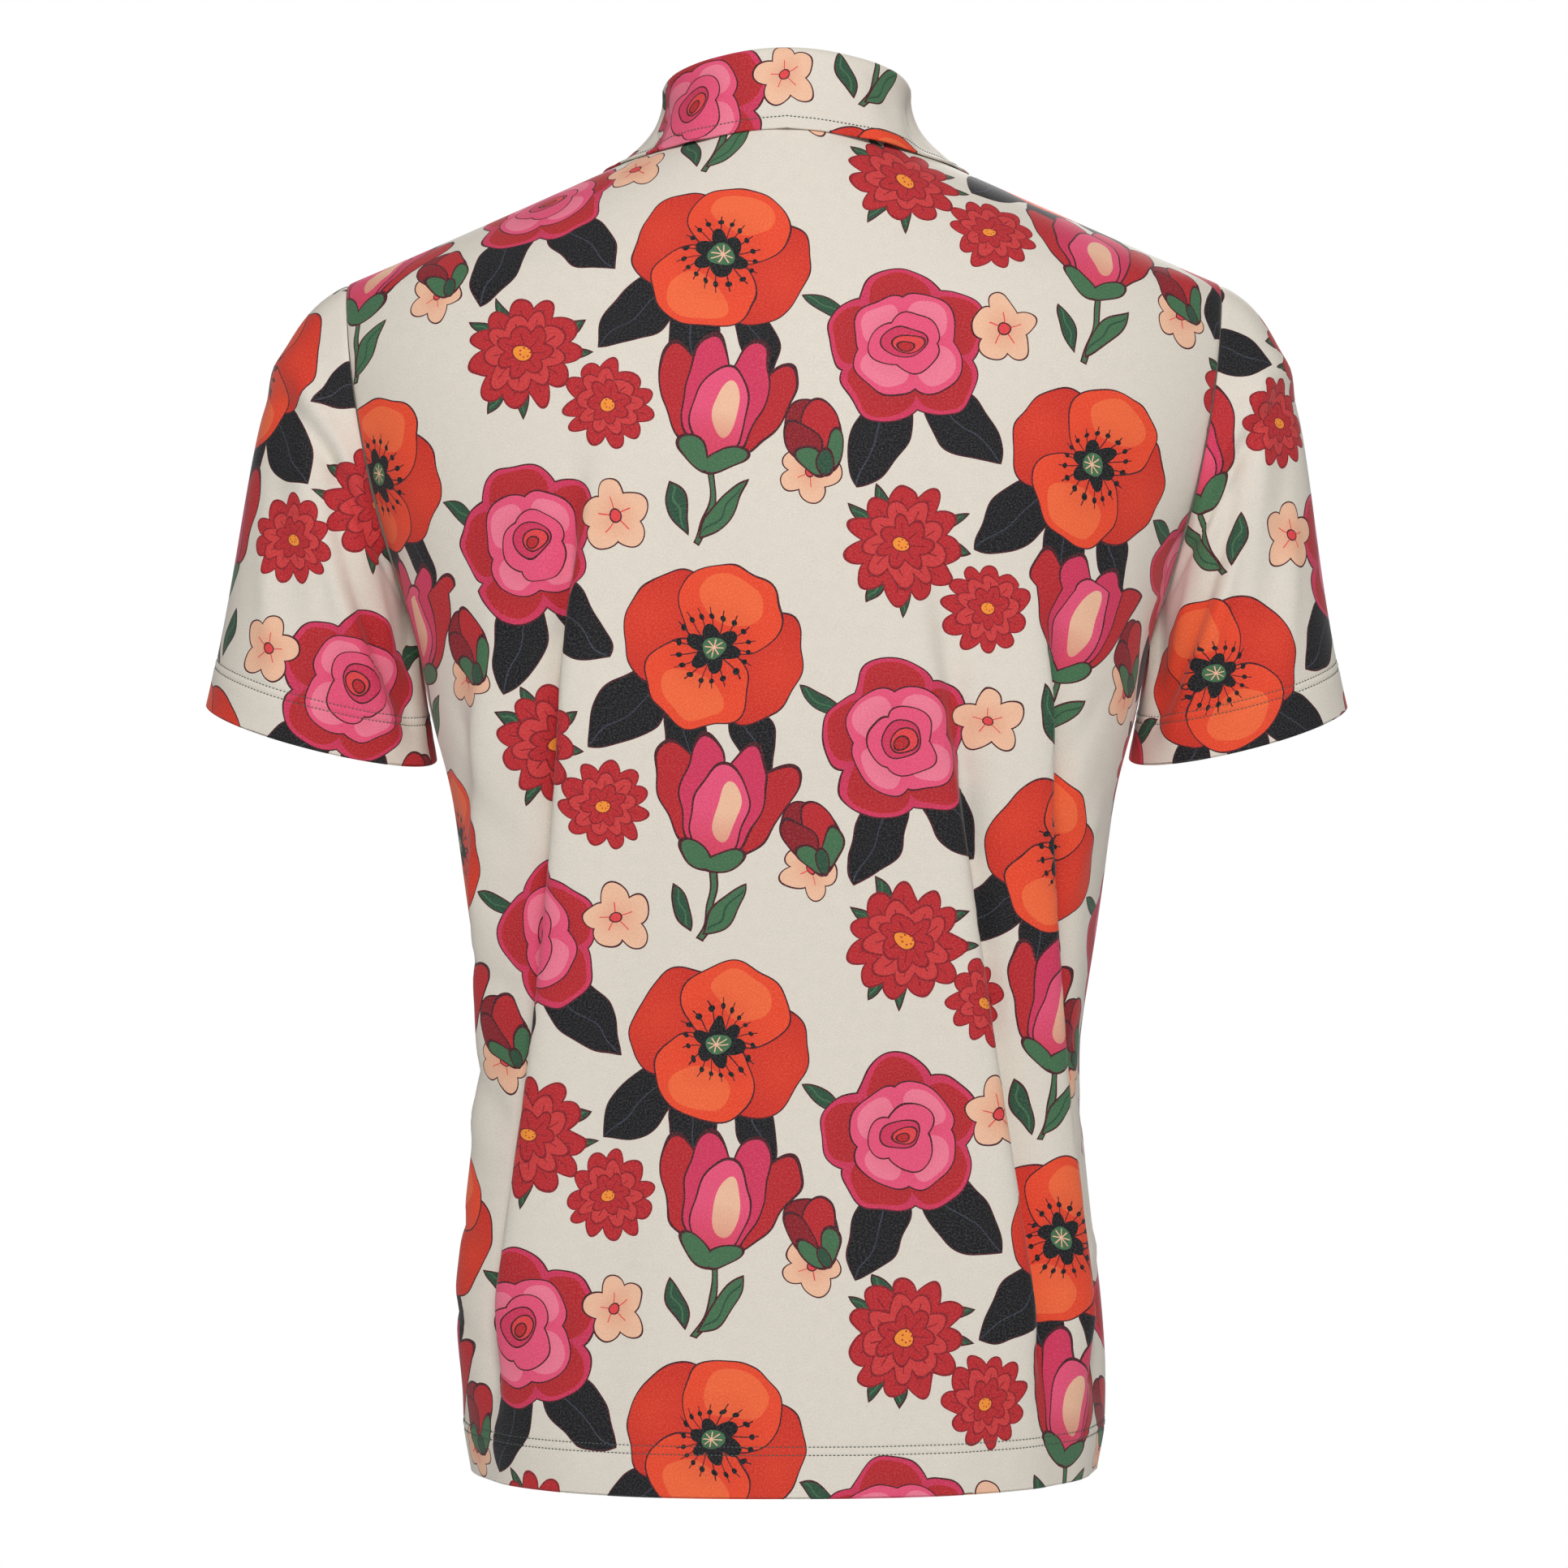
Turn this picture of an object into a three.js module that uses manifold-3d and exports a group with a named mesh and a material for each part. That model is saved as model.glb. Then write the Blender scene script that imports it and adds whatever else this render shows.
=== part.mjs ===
// Short-sleeved polo shirt, filled out as if worn, with nobody in it: a hollow form of cut and sewn walls.
// Millimetres, +Z up. The front faces -Y and the wearer's left is +X. The origin is midway between the two
// neck ends of the shoulder seams, where a wearer's shoulders hold the shirt.
import * as THREE from "three";
import { mergeVertices } from "three/addons/utils/BufferGeometryUtils.js";
import Module from "manifold-3d";

// ---- driving sizes ----
const CLOTH = 1.5; // one layer's wall
const HEM_CLOTH = 2.3; // the turned-up hem's wall
const SEAM_GAP = 0.3; // between two sewn pieces
const HEM_DEPTH = 25;
const HEM_Z = -708;
const UNDERARM_Z = -264;
const NECK_POINT = { x: 74, z: 0 }; // neck end of a shoulder seam
const SHOULDER_TIP = { x: 236, y: -4, z: -70 };
const BACK_NECK_Z = 13;
const FRONT_NECK_Z = -78;
const UNDERARM_X = 198;
const ARMHOLE_BOW = { back: 6, front: -8 }; // the armhole's middle, out from its chord
const CHEST_CURVE = { p: 2.5, q: 2.5 }; // exponents of the level sections
const SHOULDER_CURVE = { p: 2.1, q: 1.75 };
const CURVE_BLEND = 40; // how far below the underarm the sections start to change
const FRONT_NECK_POWER = 1.2; // above 1, the front neckline is rounder than a parabola
const PLACKET = { width: 31, slot: 25, length: 150, overlap: 12, cloth: 1.8 };
const BUTTON = {
  radius: 5.5,
  thick: 2.4,
  edge: 0.8, // bevel round the back
  round: 0.5, // bevel round the rim
  rim: 1.1, // outer edge to the rim's inner edge
  dish: 0.7, // depth of the middle below the rim
  holeRadius: 0.8,
  holeAt: 1.7,
  off: 0.45, // clear of the placket
  below: [14, 68, 122], // under the neckline
};

// Sections of the body's form, from hem to neck: half width, and depth of back and front at their centre
// lines. The armholes are cut out of this form. Above the shoulder tip the half width follows the seam.
const SECTIONS = [
  { z: HEM_Z, half: 169, back: 121, front: 118 },
  { z: -680, half: 172, back: 120, front: 119 },
  { z: -620, half: 169.5, back: 115, front: 120 },
  { z: -560, half: 165, back: 109, front: 121 },
  { z: -490, half: 160.5, back: 105, front: 123 },
  { z: -430, half: 165.5, back: 107, front: 126 },
  { z: -356, half: 177, back: 112, front: 130 },
  { z: -310, half: 189, back: 117, front: 132 },
  { z: UNDERARM_Z, half: UNDERARM_X, back: 119, front: 131 },
  { z: -215, half: 215, back: 120, front: 127 },
  { z: -170, half: 238, back: 118, front: 118 },
  { z: -120, half: 254, back: 112, front: 100 },
  { z: -90, half: 250, back: 105, front: 83 },
  { z: SHOULDER_TIP.z, half: SHOULDER_TIP.x, back: 99, front: 72 },
  { z: -30, half: 143, back: 82, front: 58 },
  { z: BACK_NECK_Z, half: 61, back: 60, front: 44 },
];

// Long hanging folds: panel, height where the fold starts and where it is full, its distance round from the
// centre line at its start, at the waist and at the hem, rise of its ridge (negative is a trough), and width.
const FOLDS = [
  { side: "back", start: -120, full: -340, top: 88, waist: 108, hem: 156, rise: 9, width: 19 },
  { side: "back", start: -130, full: -340, top: 107, waist: 127, hem: 176, rise: -12, width: 13 },
  { side: "back", start: -220, full: -330, top: 152, waist: 166, hem: 205, rise: 7, width: 18 },
  { side: "back", start: -160, full: -400, top: -52, waist: -82, hem: -142, rise: 7, width: 20 },
  { side: "back", start: -160, full: -400, top: -71, waist: -103, hem: -164, rise: -9, width: 13 },
  { side: "back", start: -220, full: -320, top: -128, waist: -133, hem: -188, rise: 8, width: 16 },
  { side: "back", start: -230, full: -330, top: -146, waist: -152, hem: -210, rise: -10, width: 11 },
  { side: "front", start: -190, full: -400, top: 116, waist: 128, hem: 150, rise: 8, width: 24 },
  { side: "front", start: -210, full: -380, top: 146, waist: 160, hem: 182, rise: -10, width: 14 },
  { side: "front", start: -180, full: -420, top: -98, waist: -112, hem: -134, rise: 8, width: 22 },
  { side: "front", start: -200, full: -360, top: -134, waist: -148, hem: -170, rise: -9, width: 14 },
  { side: "front", start: -230, full: -340, top: -176, waist: -188, hem: -206, rise: 6, width: 15 },
  { side: "front", start: -420, full: -640, top: 52, waist: 56, hem: 74, rise: -5, width: 22 },
];
const WAIST_Z = -400;
const FOLD_CALM = 0.86; // share of a half row past which its folds die out towards the seam
const FOLD_TOP = 0.87; // share of the way from underarm to shoulder at which the last folds have gone
const SIDE_WAVE = { swing: 2.2, length: 37, below: 20, over: 60, from: 0.6 }; // the side seams' gentle wave

// Columns that keep to one trough of their half panel, so that it stays sharp. sign is the half, and fold the
// trough's row in FOLDS.
const LEADS = [
  { side: "back", sign: 1, column: 9, fold: 1 },
  { side: "back", sign: -1, column: 7, fold: 4 },
];
const LEAD_OVER = 60; // height over which the columns swing onto the trough

// Creases on a sleeve: place round it in turns (0 underarm, 0.25 back, 0.5 top, 0.75 front) at the armhole
// and at the hem, share of the sleeve's length where it peaks, rise and width.
const SLEEVE_CREASES = [
  { from: 0.42, to: 0.06, peak: 0.45, rise: 3.5, width: 0.045 },
  { from: 0.34, to: 0.0, peak: 0.38, rise: -3.5, width: 0.04 },
  { from: 0.5, to: 0.2, peak: 0.55, rise: -2.5, width: 0.045 },
  { from: 0.62, to: 0.95, peak: 0.42, rise: 3.5, width: 0.045 },
  { from: 0.7, to: 1.02, peak: 0.36, rise: -3.5, width: 0.04 },
];
const CREASE_REACH = { length: 0.3, from: 0.15, to: 0.2 }; // spread along the sleeve, and fading at its ends

// The sleeve's hem: an ellipse square to the arm, which hangs out to the side and a little forward.
const SLEEVE_HEM = {
  left: { x: 252, across: 64 },
  right: { x: 247.4, across: 60.5 },
  y: -14,
  z: -313,
  deep: 50,
  outward: 0.268, // tangent of the arm's lean to the side
  forward: 0.194, // and of its lean to the front
};
const FOLDED_BACK = 0.2; // share of the armhole's height up to which the sleeve lies back against the body

// How a sleeve leaves the armhole and comes to its hem.
const SLEEVE_CURVE = {
  band: 0.9, // share of its length above the turned-up hem
  out: 0.92, // level part of its direction at the shoulder tip
  outPower: 1.15, // and how fast that falls off towards the underarm
  side: 0.12, // spread to the back and the front
  straight: 0.6, // share of the armhole's height above which it ends along the arm
  leave: 0.25, // lengths of the curve's two handles, as shares of the reach
  arrive: 0.5,
};

// The collar round the neck: 0 centre front, 1 neck point, 2 centre back. The stand's height and lean to the
// inside, the fall's bow, and its outer edge. A y of null lays the edge on the front.
const COLLAR = [
  { at: 0, height: 27, lean: 2, bow: 4, x: 50, y: null, z: -106 },
  { at: 0.33, height: 27, lean: 5, bow: 6, x: 75, y: null, z: -84 },
  { at: 0.66, height: 29, lean: 10, bow: 5, x: 94, y: null, z: -50 },
  { at: 1, height: 31, lean: 13, bow: -5, x: 100, y: -8, z: -9 },
  { at: 1.33, height: 32, lean: 12, bow: -4, x: 81, y: 29, z: -4 },
  { at: 1.66, height: 32.5, lean: 10, bow: 0, x: 49, y: 58, z: 2 },
  { at: 2, height: 33, lean: 10, bow: 1, x: 0, y: 69, z: 7 },
];

// The roll from the stand's top into the fall: distances out from and above the stand's top.
const ROLL = [
  { out: -1.5, rise: 0.9 },
  { out: -1.2, rise: 2.5 },
  { out: 0.6, rise: 3.7 },
  { out: 3.4, rise: 3.3 },
  { out: 5.5, rise: 0.6 },
];
const FALL_CLEAR = 4.6; // the fall's outer face over the body
const LIFT_STEP = 0.25; // steps in which a point of the fall is lifted clear
const EDGE_OFF = 3; // the fall's front edge over the plain front
const STAND_BULGE = 1.2;
const COLLAR_START = [0.75, 6.5]; // x of the collar's first two posts, over the placket
const COLLAR_SHIFT = -1.5; // the collar sits this far to one side

// ---- mesh density ----
const LOWER_ROWS = 14;
const UPPER_ROWS = 12;
const HEM_STEP = 2; // the row above a hem, where the wall thins
const HALF_COLUMNS = 19; // from the centre line to the side
const NECK_COLUMNS = 7; // of those, on the neckline in the top row
const NECK_FAN = { share: 0.15, power: 0.3 }; // how far these spread below the neckline
const SLEEVE_ROWS = 9;
const FALL_ROWS = 4;
const STAND_ROWS = 3;
const CURVE_STEPS = 240; // of the fine line from which a row's points are spaced
const NECK_STEPS = 80; // of those, up to the neck point's place

// ---- small maths ----
const clamp01 = (t) => Math.min(1, Math.max(0, t));
const mix = (a, b, t) => a + (b - a) * t;
const smooth = (t) => clamp01(t) ** 2 * (3 - 2 * clamp01(t));
const bump = (t) => Math.exp(-t * t);

// A smooth curve through a table's rows: key is the column that runs, want the column that is read.
function spline(rows, key, want) {
  const xs = rows.map((r) => r[key]);
  const ys = rows.map((r) => r[want]);
  const last = xs.length - 1;
  const slope = (i) => {
    const a = Math.max(0, i - 1);
    const b = Math.min(last, i + 1);
    return (ys[b] - ys[a]) / (xs[b] - xs[a]);
  };
  return (x) => {
    let i = 0;
    while (i < last - 1 && x > xs[i + 1]) i++;
    const h = xs[i + 1] - xs[i];
    const t = clamp01((x - xs[i]) / h);
    const t2 = t * t;
    const t3 = t2 * t;
    return (
      (2 * t3 - 3 * t2 + 1) * ys[i] +
      (t3 - 2 * t2 + t) * h * slope(i) +
      (3 * t2 - 2 * t3) * ys[i + 1] +
      (t3 - t2) * h * slope(i + 1)
    );
  };
}

// ---- the body's surface ----
const halfWidth = spline(SECTIONS, "z", "half");
const centreDepth = { back: spline(SECTIONS, "z", "back"), front: spline(SECTIONS, "z", "front") };
const SHOULDER_RUN = (SHOULDER_TIP.x - NECK_POINT.x) / (NECK_POINT.z - SHOULDER_TIP.z); // x per mm of drop
const ARMHOLE_RISE = SHOULDER_TIP.z - UNDERARM_Z;

// Height in the armhole, -1 at the underarm and 1 at the shoulder tip.
const armholeHeight = (z) => (2 * (z - UNDERARM_Z)) / ARMHOLE_RISE - 1;

// A level section of the form: half width and exponents.
function sectionAt(z) {
  const risen = smooth((z - UNDERARM_Z + CURVE_BLEND) / (ARMHOLE_RISE + CURVE_BLEND));
  const p = mix(CHEST_CURVE.p, SHOULDER_CURVE.p, risen);
  const q = mix(CHEST_CURVE.q, SHOULDER_CURVE.q, risen);
  const drop = NECK_POINT.z - z;
  const onShoulder = NECK_POINT.x + drop * (drop > 0 ? SHOULDER_RUN : 1);
  return { half: z < SHOULDER_TIP.z ? halfWidth(z) : onShoulder, p, q };
}

// Half width of a panel: the form's, less the armhole.
function edgeX(side, z) {
  const { half } = sectionAt(z);
  if (z <= UNDERARM_Z || z >= SHOULDER_TIP.z) return half;
  const u = armholeHeight(z);
  const middle = (UNDERARM_X + SHOULDER_TIP.x) / 2;
  const cut = middle + ((SHOULDER_TIP.x - UNDERARM_X) / 2) * u + ARMHOLE_BOW[side] * (1 - u * u);
  return Math.min(half, cut);
}

// Depth of the plain surface, without folds. The shoulder seam's slant is spread over the section.
function depthAt(side, x, z) {
  const { half, p, q } = sectionAt(z);
  const across = clamp01(Math.abs(x) / half);
  const out = (side === "back" ? 1 : -1) * centreDepth[side](z);
  const seam = SHOULDER_TIP.y * clamp01((z - UNDERARM_Z) / ARMHOLE_RISE) * clamp01(z / SHOULDER_TIP.z);
  return out * (1 - across ** p) ** (1 / q) + seam * across ** 2;
}

// Height of a panel's top edge: neckline, then shoulder seam.
function topAt(side, x) {
  if (x >= NECK_POINT.x) return NECK_POINT.z - (x - NECK_POINT.x) / SHOULDER_RUN;
  const across = 1 - (x / NECK_POINT.x) ** 2;
  return side === "back" ? BACK_NECK_Z * across : FRONT_NECK_Z * across ** FRONT_NECK_POWER;
}

// Where a fold runs at a height: mm round from the centre line.
function foldLine(fold) {
  const rows = [
    { z: HEM_Z, u: fold.hem },
    { z: WAIST_Z, u: fold.waist },
    { z: fold.start, u: fold.top },
  ];
  return spline(rows, "z", "u");
}
const foldLines = new Map(FOLDS.map((fold) => [fold, foldLine(fold)]));

// How far the folds push the cloth out at u mm round from the centre line.
function foldRise(side, u, z) {
  let rise = 0;
  for (const f of FOLDS.filter((fold) => fold.side === side)) {
    const grown = smooth((f.start - z) / (f.start - f.full));
    rise += f.rise * grown * bump((u - foldLines.get(f)(z)) / f.width);
  }
  return rise;
}

// Both panels share this at the side seam, so that they stay together there.
function sideWave(z) {
  const grown = smooth((UNDERARM_Z - SIDE_WAVE.below - z) / SIDE_WAVE.over);
  return SIDE_WAVE.swing * Math.sin(z / SIDE_WAVE.length) * grown;
}

// A row's fine line from the centre line to the panel's edge, on the plain surface. share is 0 at the
// underarm and 1 at the top, or null below it.
function fineLine(side, z, share) {
  const edgeZ = share === null ? z : mix(UNDERARM_Z, SHOULDER_TIP.z, share);
  const width = edgeX(side, edgeZ);
  const neckAcross = NECK_POINT.x / SHOULDER_TIP.x;
  const line = [];
  for (let i = 0; i <= CURVE_STEPS; i++) {
    const past = Math.max(0, i / NECK_STEPS - 1) / (CURVE_STEPS / NECK_STEPS - 1);
    const beyond = mix(neckAcross, 1, Math.sin((past * Math.PI) / 2));
    const across = i < NECK_STEPS ? (neckAcross * i) / NECK_STEPS : beyond;
    const x = across * width;
    const pz = share === null ? z : mix(UNDERARM_Z, topAt(side, across * SHOULDER_TIP.x), share);
    line.push(new THREE.Vector3(x, depthAt(side, x, pz), pz));
  }
  return line;
}

// One half of a row: points from the centre line to the edge, evenly spaced along the cloth apart from the
// columns that lead to the neck point and those that keep to a trough.
function halfRow(side, sign, z, share) {
  const line = fineLine(side, z, share);
  const along = [0];
  for (let i = 1; i < line.length; i++) along.push(along[i - 1] + line[i].distanceTo(line[i - 1]));
  const total = along[along.length - 1];
  const lengthAtX = (x) => {
    const i = line.findIndex((p) => p.x >= x);
    return mix(along[i - 1], along[i], (x - line[i - 1].x) / (line[i].x - line[i - 1].x));
  };
  const slot = side === "front" ? lengthAtX(PLACKET.slot / 2) : 0;
  const neckShare = (along[NECK_STEPS] - slot) / (total - slot);
  const even = NECK_COLUMNS / HALF_COLUMNS;
  const fan = share === null ? 0 : NECK_FAN.share * share ** 2 * (1 - share) ** NECK_FAN.power;
  const neck = share === null ? even : mix(even, neckShare, share ** 2) + fan;
  const spread = (k, column, at) =>
    k < column ? (at * k) / column : mix(at, 1, (k - column) / (HALF_COLUMNS - column));
  const lead = LEADS.find((l) => l.side === side && l.sign === sign);
  const follow = lead && share === null ? smooth((UNDERARM_Z - z) / LEAD_OVER) : 0;
  const trough = lead ? Math.abs(foldLines.get(FOLDS[lead.fold])(z)) / total : 0;
  const points = [];
  for (let k = 0; k <= HALF_COLUMNS; k++) {
    const plain = spread(k, NECK_COLUMNS, neck);
    const place = follow > 0 ? mix(plain, spread(k, lead.column, trough), follow) : plain;
    const want = mix(slot, total, place);
    let i = 0;
    while (i < line.length - 2 && along[i + 1] < want) i++;
    const t = clamp01((want - along[i]) / (along[i + 1] - along[i]));
    const p = line[i].clone().lerp(line[i + 1], t);
    points.push({ p, u: want, round: want / total });
  }
  return points;
}

// The rows of a body panel: heights below the underarm, then shares of the way to the top edge.
function panelRows() {
  const first = HEM_Z + HEM_DEPTH + HEM_STEP;
  const rows = [HEM_Z, HEM_Z + HEM_DEPTH, first].map((z) => ({ z, share: null }));
  for (let i = 1; i < LOWER_ROWS; i++) rows.push({ z: mix(first, UNDERARM_Z, i / LOWER_ROWS), share: null });
  for (let i = 0; i <= UPPER_ROWS; i++) {
    rows.push({ z: UNDERARM_Z, share: (1 - Math.cos((Math.PI * i) / UPPER_ROWS)) / 2 });
  }
  return rows;
}

// Places in a grid, held at its ends or taken round.
const within = (i, count) => Math.min(count - 1, Math.max(0, i));
const around = (i, count) => (i + count) % count;

// Unit normals of a grid of points, by differences. Facing says which way is out.
function gridNormals(grid, wraps, facing) {
  const at = (r, c) => grid[within(r, grid.length)][(wraps ? around : within)(c, grid[0].length)];
  return grid.map((row, r) =>
    row.map((_, c) => {
      const across = at(r, c + 1).clone().sub(at(r, c - 1));
      const up = at(r + 1, c).clone().sub(at(r - 1, c));
      return across.cross(up).multiplyScalar(facing).normalize();
    }),
  );
}

// A front or back panel's outer points, from the wearer's right to the left (x rising), hem row first.
function panelGrid(side) {
  const plain = [];
  const places = [];
  for (const row of panelRows()) {
    const skip = side === "back" ? 1 : 0; // the back's centre point is shared by its two halves
    const left = halfRow(side, 1, row.z, row.share).map((h) => ({ ...h, sign: 1 }));
    const right = halfRow(side, -1, row.z, row.share)
      .slice(skip)
      .map((h) => ({ ...h, sign: -1, p: new THREE.Vector3(-h.p.x, h.p.y, h.p.z) }));
    const whole = [...right.reverse(), ...left];
    plain.push(whole.map((h) => h.p));
    places.push(whole.map((h) => ({ u: h.u * h.sign, round: h.round, share: row.share })));
  }
  const normals = gridNormals(plain, false, side === "back" ? -1 : 1);
  return plain.map((row, r) =>
    row.map((p, c) => {
      const { u, round, share } = places[r][c];
      const inside = 1 - smooth((round - FOLD_CALM) / (1 - FOLD_CALM));
      const below = share === null ? 1 : (1 - smooth(share / FOLD_TOP)) * inside;
      const rise = foldRise(side, u, p.z) * inside * below;
      const swing = sideWave(p.z) * smooth((round - SIDE_WAVE.from) / (1 - SIDE_WAVE.from));
      const moved = p.clone().addScaledVector(normals[r][c], rise);
      moved.x += Math.sign(p.x) * swing;
      return moved;
    }),
  );
}

// ---- the sleeve ----
const armDirection = new THREE.Vector3(SLEEVE_HEM.outward, -SLEEVE_HEM.forward, -1).normalize();

// The sleeve on the wearer's left; the right one is made there too, then turned over.
function sleeveGrid(armhole, size) {
  const curves = armhole.map((seam, c) => sleeveCurve(seam, (2 * Math.PI * c) / armhole.length, size));
  const grid = [];
  for (let r = 0; r <= SLEEVE_ROWS; r++) {
    const down = r < SLEEVE_ROWS ? (SLEEVE_CURVE.band * r) / (SLEEVE_ROWS - 1) : 1;
    grid.push(curves.map((curve) => curve.getPoint(down)));
  }
  const normals = gridNormals(grid, true, 1);
  const creased = (p, r, c) =>
    p.clone().addScaledVector(normals[r][c], creaseRise(c / armhole.length, r / SLEEVE_ROWS));
  return grid.map((row, r) => row.map((p, c) => creased(p, r, c)));
}

// One line down the sleeve, from a point of the armhole to the hem at an angle round the arm.
function sleeveCurve(seam, angle, { x, across: half }) {
  const across = new THREE.Vector3(1, 0, 0).addScaledVector(armDirection, -armDirection.x).normalize();
  const back = new THREE.Vector3(0, 1, 0).addScaledVector(armDirection, -armDirection.y).normalize();
  const from = seam.clone();
  const height = clamp01((armholeHeight(from.z) + 1) / 2);
  if (height < FOLDED_BACK) from.x += SEAM_GAP;
  const hem = new THREE.Vector3(x, SLEEVE_HEM.y, SLEEVE_HEM.z)
    .addScaledVector(across, -half * Math.cos(angle))
    .addScaledVector(back, SLEEVE_HEM.deep * Math.sin(angle));
  const reach = hem.distanceTo(from);
  const side = SLEEVE_CURVE.side * Math.sin(angle);
  const out = SLEEVE_CURVE.out * height ** SLEEVE_CURVE.outPower;
  const leave = new THREE.Vector3(out, side, -Math.sqrt(1 - out * out - side * side));
  const chord = hem.clone().sub(from).normalize();
  const arrive = chord.lerp(armDirection, smooth(height / SLEEVE_CURVE.straight)).normalize();
  return new THREE.CubicBezierCurve3(
    from,
    from.clone().addScaledVector(leave, reach * SLEEVE_CURVE.leave),
    hem.clone().addScaledVector(arrive, -reach * SLEEVE_CURVE.arrive),
    hem,
  );
}

function creaseRise(turn, down) {
  let rise = 0;
  for (const crease of SLEEVE_CREASES) {
    const at = mix(crease.from, crease.to, down);
    const off = turn - at - Math.round(turn - at);
    rise += crease.rise * bump(off / crease.width) * bump((down - crease.peak) / CREASE_REACH.length);
  }
  return rise * smooth(down / CREASE_REACH.from) * smooth((1 - down) / CREASE_REACH.to);
}

// ---- the collar ----
const collarHeight = spline(COLLAR, "at", "height");
const collarLean = spline(COLLAR, "at", "lean");
const collarBow = spline(COLLAR, "at", "bow");
const collarEdgeX = spline(COLLAR, "at", "x");
const collarEdgeZ = spline(COLLAR, "at", "z");
const collarEdgeY = spline(
  COLLAR.map((c) => ({ at: c.at, y: c.y ?? depthAt("front", c.x, c.z) - EDGE_OFF })),
  "at",
  "y",
);

// Points of the neckline from the right front edge round the back to the left one: each with its place on the
// collar, its side, and the way from the panel's edge into the neck.
function neckline(back, front) {
  const take = (panel, c) => ({ p: panel.grid.at(-1)[c], normal: panel.normals.at(-1)[c] });
  const slotEdge = front.grid[0].length / 2;
  const centre = (back.grid[0].length - 1) / 2;
  const half = COLLAR_START.map((x) => {
    const z = topAt("front", x);
    return { p: new THREE.Vector3(x, depthAt("front", x, z), z), normal: take(front, slotEdge).normal };
  });
  for (let k = 0; k <= NECK_COLUMNS; k++) half.push(take(front, slotEdge + k));
  const fronts = half.length - 1;
  for (let k = NECK_COLUMNS - 1; k >= 0; k--) half.push(take(back, centre + k));
  const last = half.length - 1;
  const along = [0];
  for (let i = 1; i <= last; i++) along.push(along[i - 1] + half[i].p.distanceTo(half[i - 1].p));
  half.forEach((h, i) => {
    const tangent = half[Math.min(last, i + 1)].p.clone().sub(half[Math.max(0, i - 1)].p);
    h.inward = h.normal.clone().cross(tangent).normalize();
    const behind = (along[i] - along[fronts]) / (along[last] - along[fronts]);
    h.at = i <= fronts ? along[i] / along[fronts] : 1 + behind;
    h.sign = 1;
  });
  const flip = (v) => new THREE.Vector3(-v.x, v.y, v.z);
  const right = half.slice(0, -1).map((h) => ({ at: h.at, sign: -1, p: flip(h.p), inward: flip(h.inward) }));
  return [...right, ...half.reverse()];
}

// For each neckline point: the stand's foot and top, the level way out, the way up square to the stand's top
// edge, and the fall's edge.
function collarPosts(neck) {
  const posts = neck.map((n, i) => {
    const before = neck[Math.max(0, i - 1)].p;
    const after = neck[Math.min(neck.length - 1, i + 1)].p;
    const out = new THREE.Vector3(before.y - after.y, after.x - before.x, 0).normalize();
    const foot = n.p.clone().addScaledVector(n.inward, SEAM_GAP / 2);
    const top = foot.clone().addScaledVector(out, -collarLean(n.at));
    top.z += collarHeight(n.at);
    if (n.at === 0) top.x = foot.x;
    const shift = COLLAR_SHIFT * smooth(n.at);
    top.x += shift;
    const edge = new THREE.Vector3(n.sign * collarEdgeX(n.at) + shift, collarEdgeY(n.at), collarEdgeZ(n.at));
    return { foot, top, out, edge, bow: collarBow(n.at) };
  });
  const last = posts.length - 1;
  posts.forEach((post, i) => {
    const along = posts[Math.min(last, i + 1)].top.clone().sub(posts[Math.max(0, i - 1)].top);
    post.up = along.cross(post.out).normalize();
    if (post.up.z < 0) post.up.negate();
  });
  return posts;
}

function standGrid(posts) {
  const grid = [];
  for (let r = 0; r <= STAND_ROWS; r++) {
    const up = r / STAND_ROWS;
    const bulge = STAND_BULGE * Math.sin(Math.PI * up);
    grid.push(posts.map((post) => post.foot.clone().lerp(post.top, up).addScaledVector(post.out, bulge)));
  }
  return grid;
}

// True inside the body's plain surface.
function insideBody(p) {
  if (p.z > BACK_NECK_Z || Math.abs(p.x) >= sectionAt(p.z).half) return false;
  return p.y < depthAt("back", p.x, p.z) && p.y > depthAt("front", p.x, p.z);
}

// The fall leaves the stand's top, rolls over it and hangs to its edge, clear of the body.
function fallGrid(posts) {
  const columns = posts.map((post) => {
    const column = ROLL.map((roll) => {
      const p = post.top.clone().addScaledVector(post.out, roll.out);
      return p.addScaledVector(post.up, roll.rise);
    });
    const shoulder = column[column.length - 1];
    const away = post.out.clone().setZ(1).normalize();
    for (let r = 1; r <= FALL_ROWS; r++) {
      const down = r / FALL_ROWS;
      const bow = post.bow * Math.sin(Math.PI * down);
      const p = shoulder.clone().lerp(post.edge, down).addScaledVector(post.out, bow);
      const under = () => p.clone().addScaledVector(away, -FALL_CLEAR);
      while (insideBody(under())) p.addScaledVector(away, LIFT_STEP);
      column.push(p);
    }
    return column;
  });
  return columns[0].map((_, r) => columns.map((column) => column[r]));
}

// ---- walls ----
// Points that several pieces share get one normal, so that their walls end on one plane.
function shareNormals(pieces) {
  const sums = new Map();
  const key = (p) => p.toArray().map((v) => Math.round(v * 100)).join();
  const places = pieces.flatMap(({ grid, normals }) =>
    grid.flatMap((row, r) => row.map((p, c) => ({ key: key(p), normals: normals[r], c }))),
  );
  for (const { key: at, normals, c } of places) {
    sums.set(at, (sums.get(at) ?? new THREE.Vector3()).add(normals[c]));
  }
  for (const { key: at, normals, c } of places) normals[c] = sums.get(at).clone().normalize();
}

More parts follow.
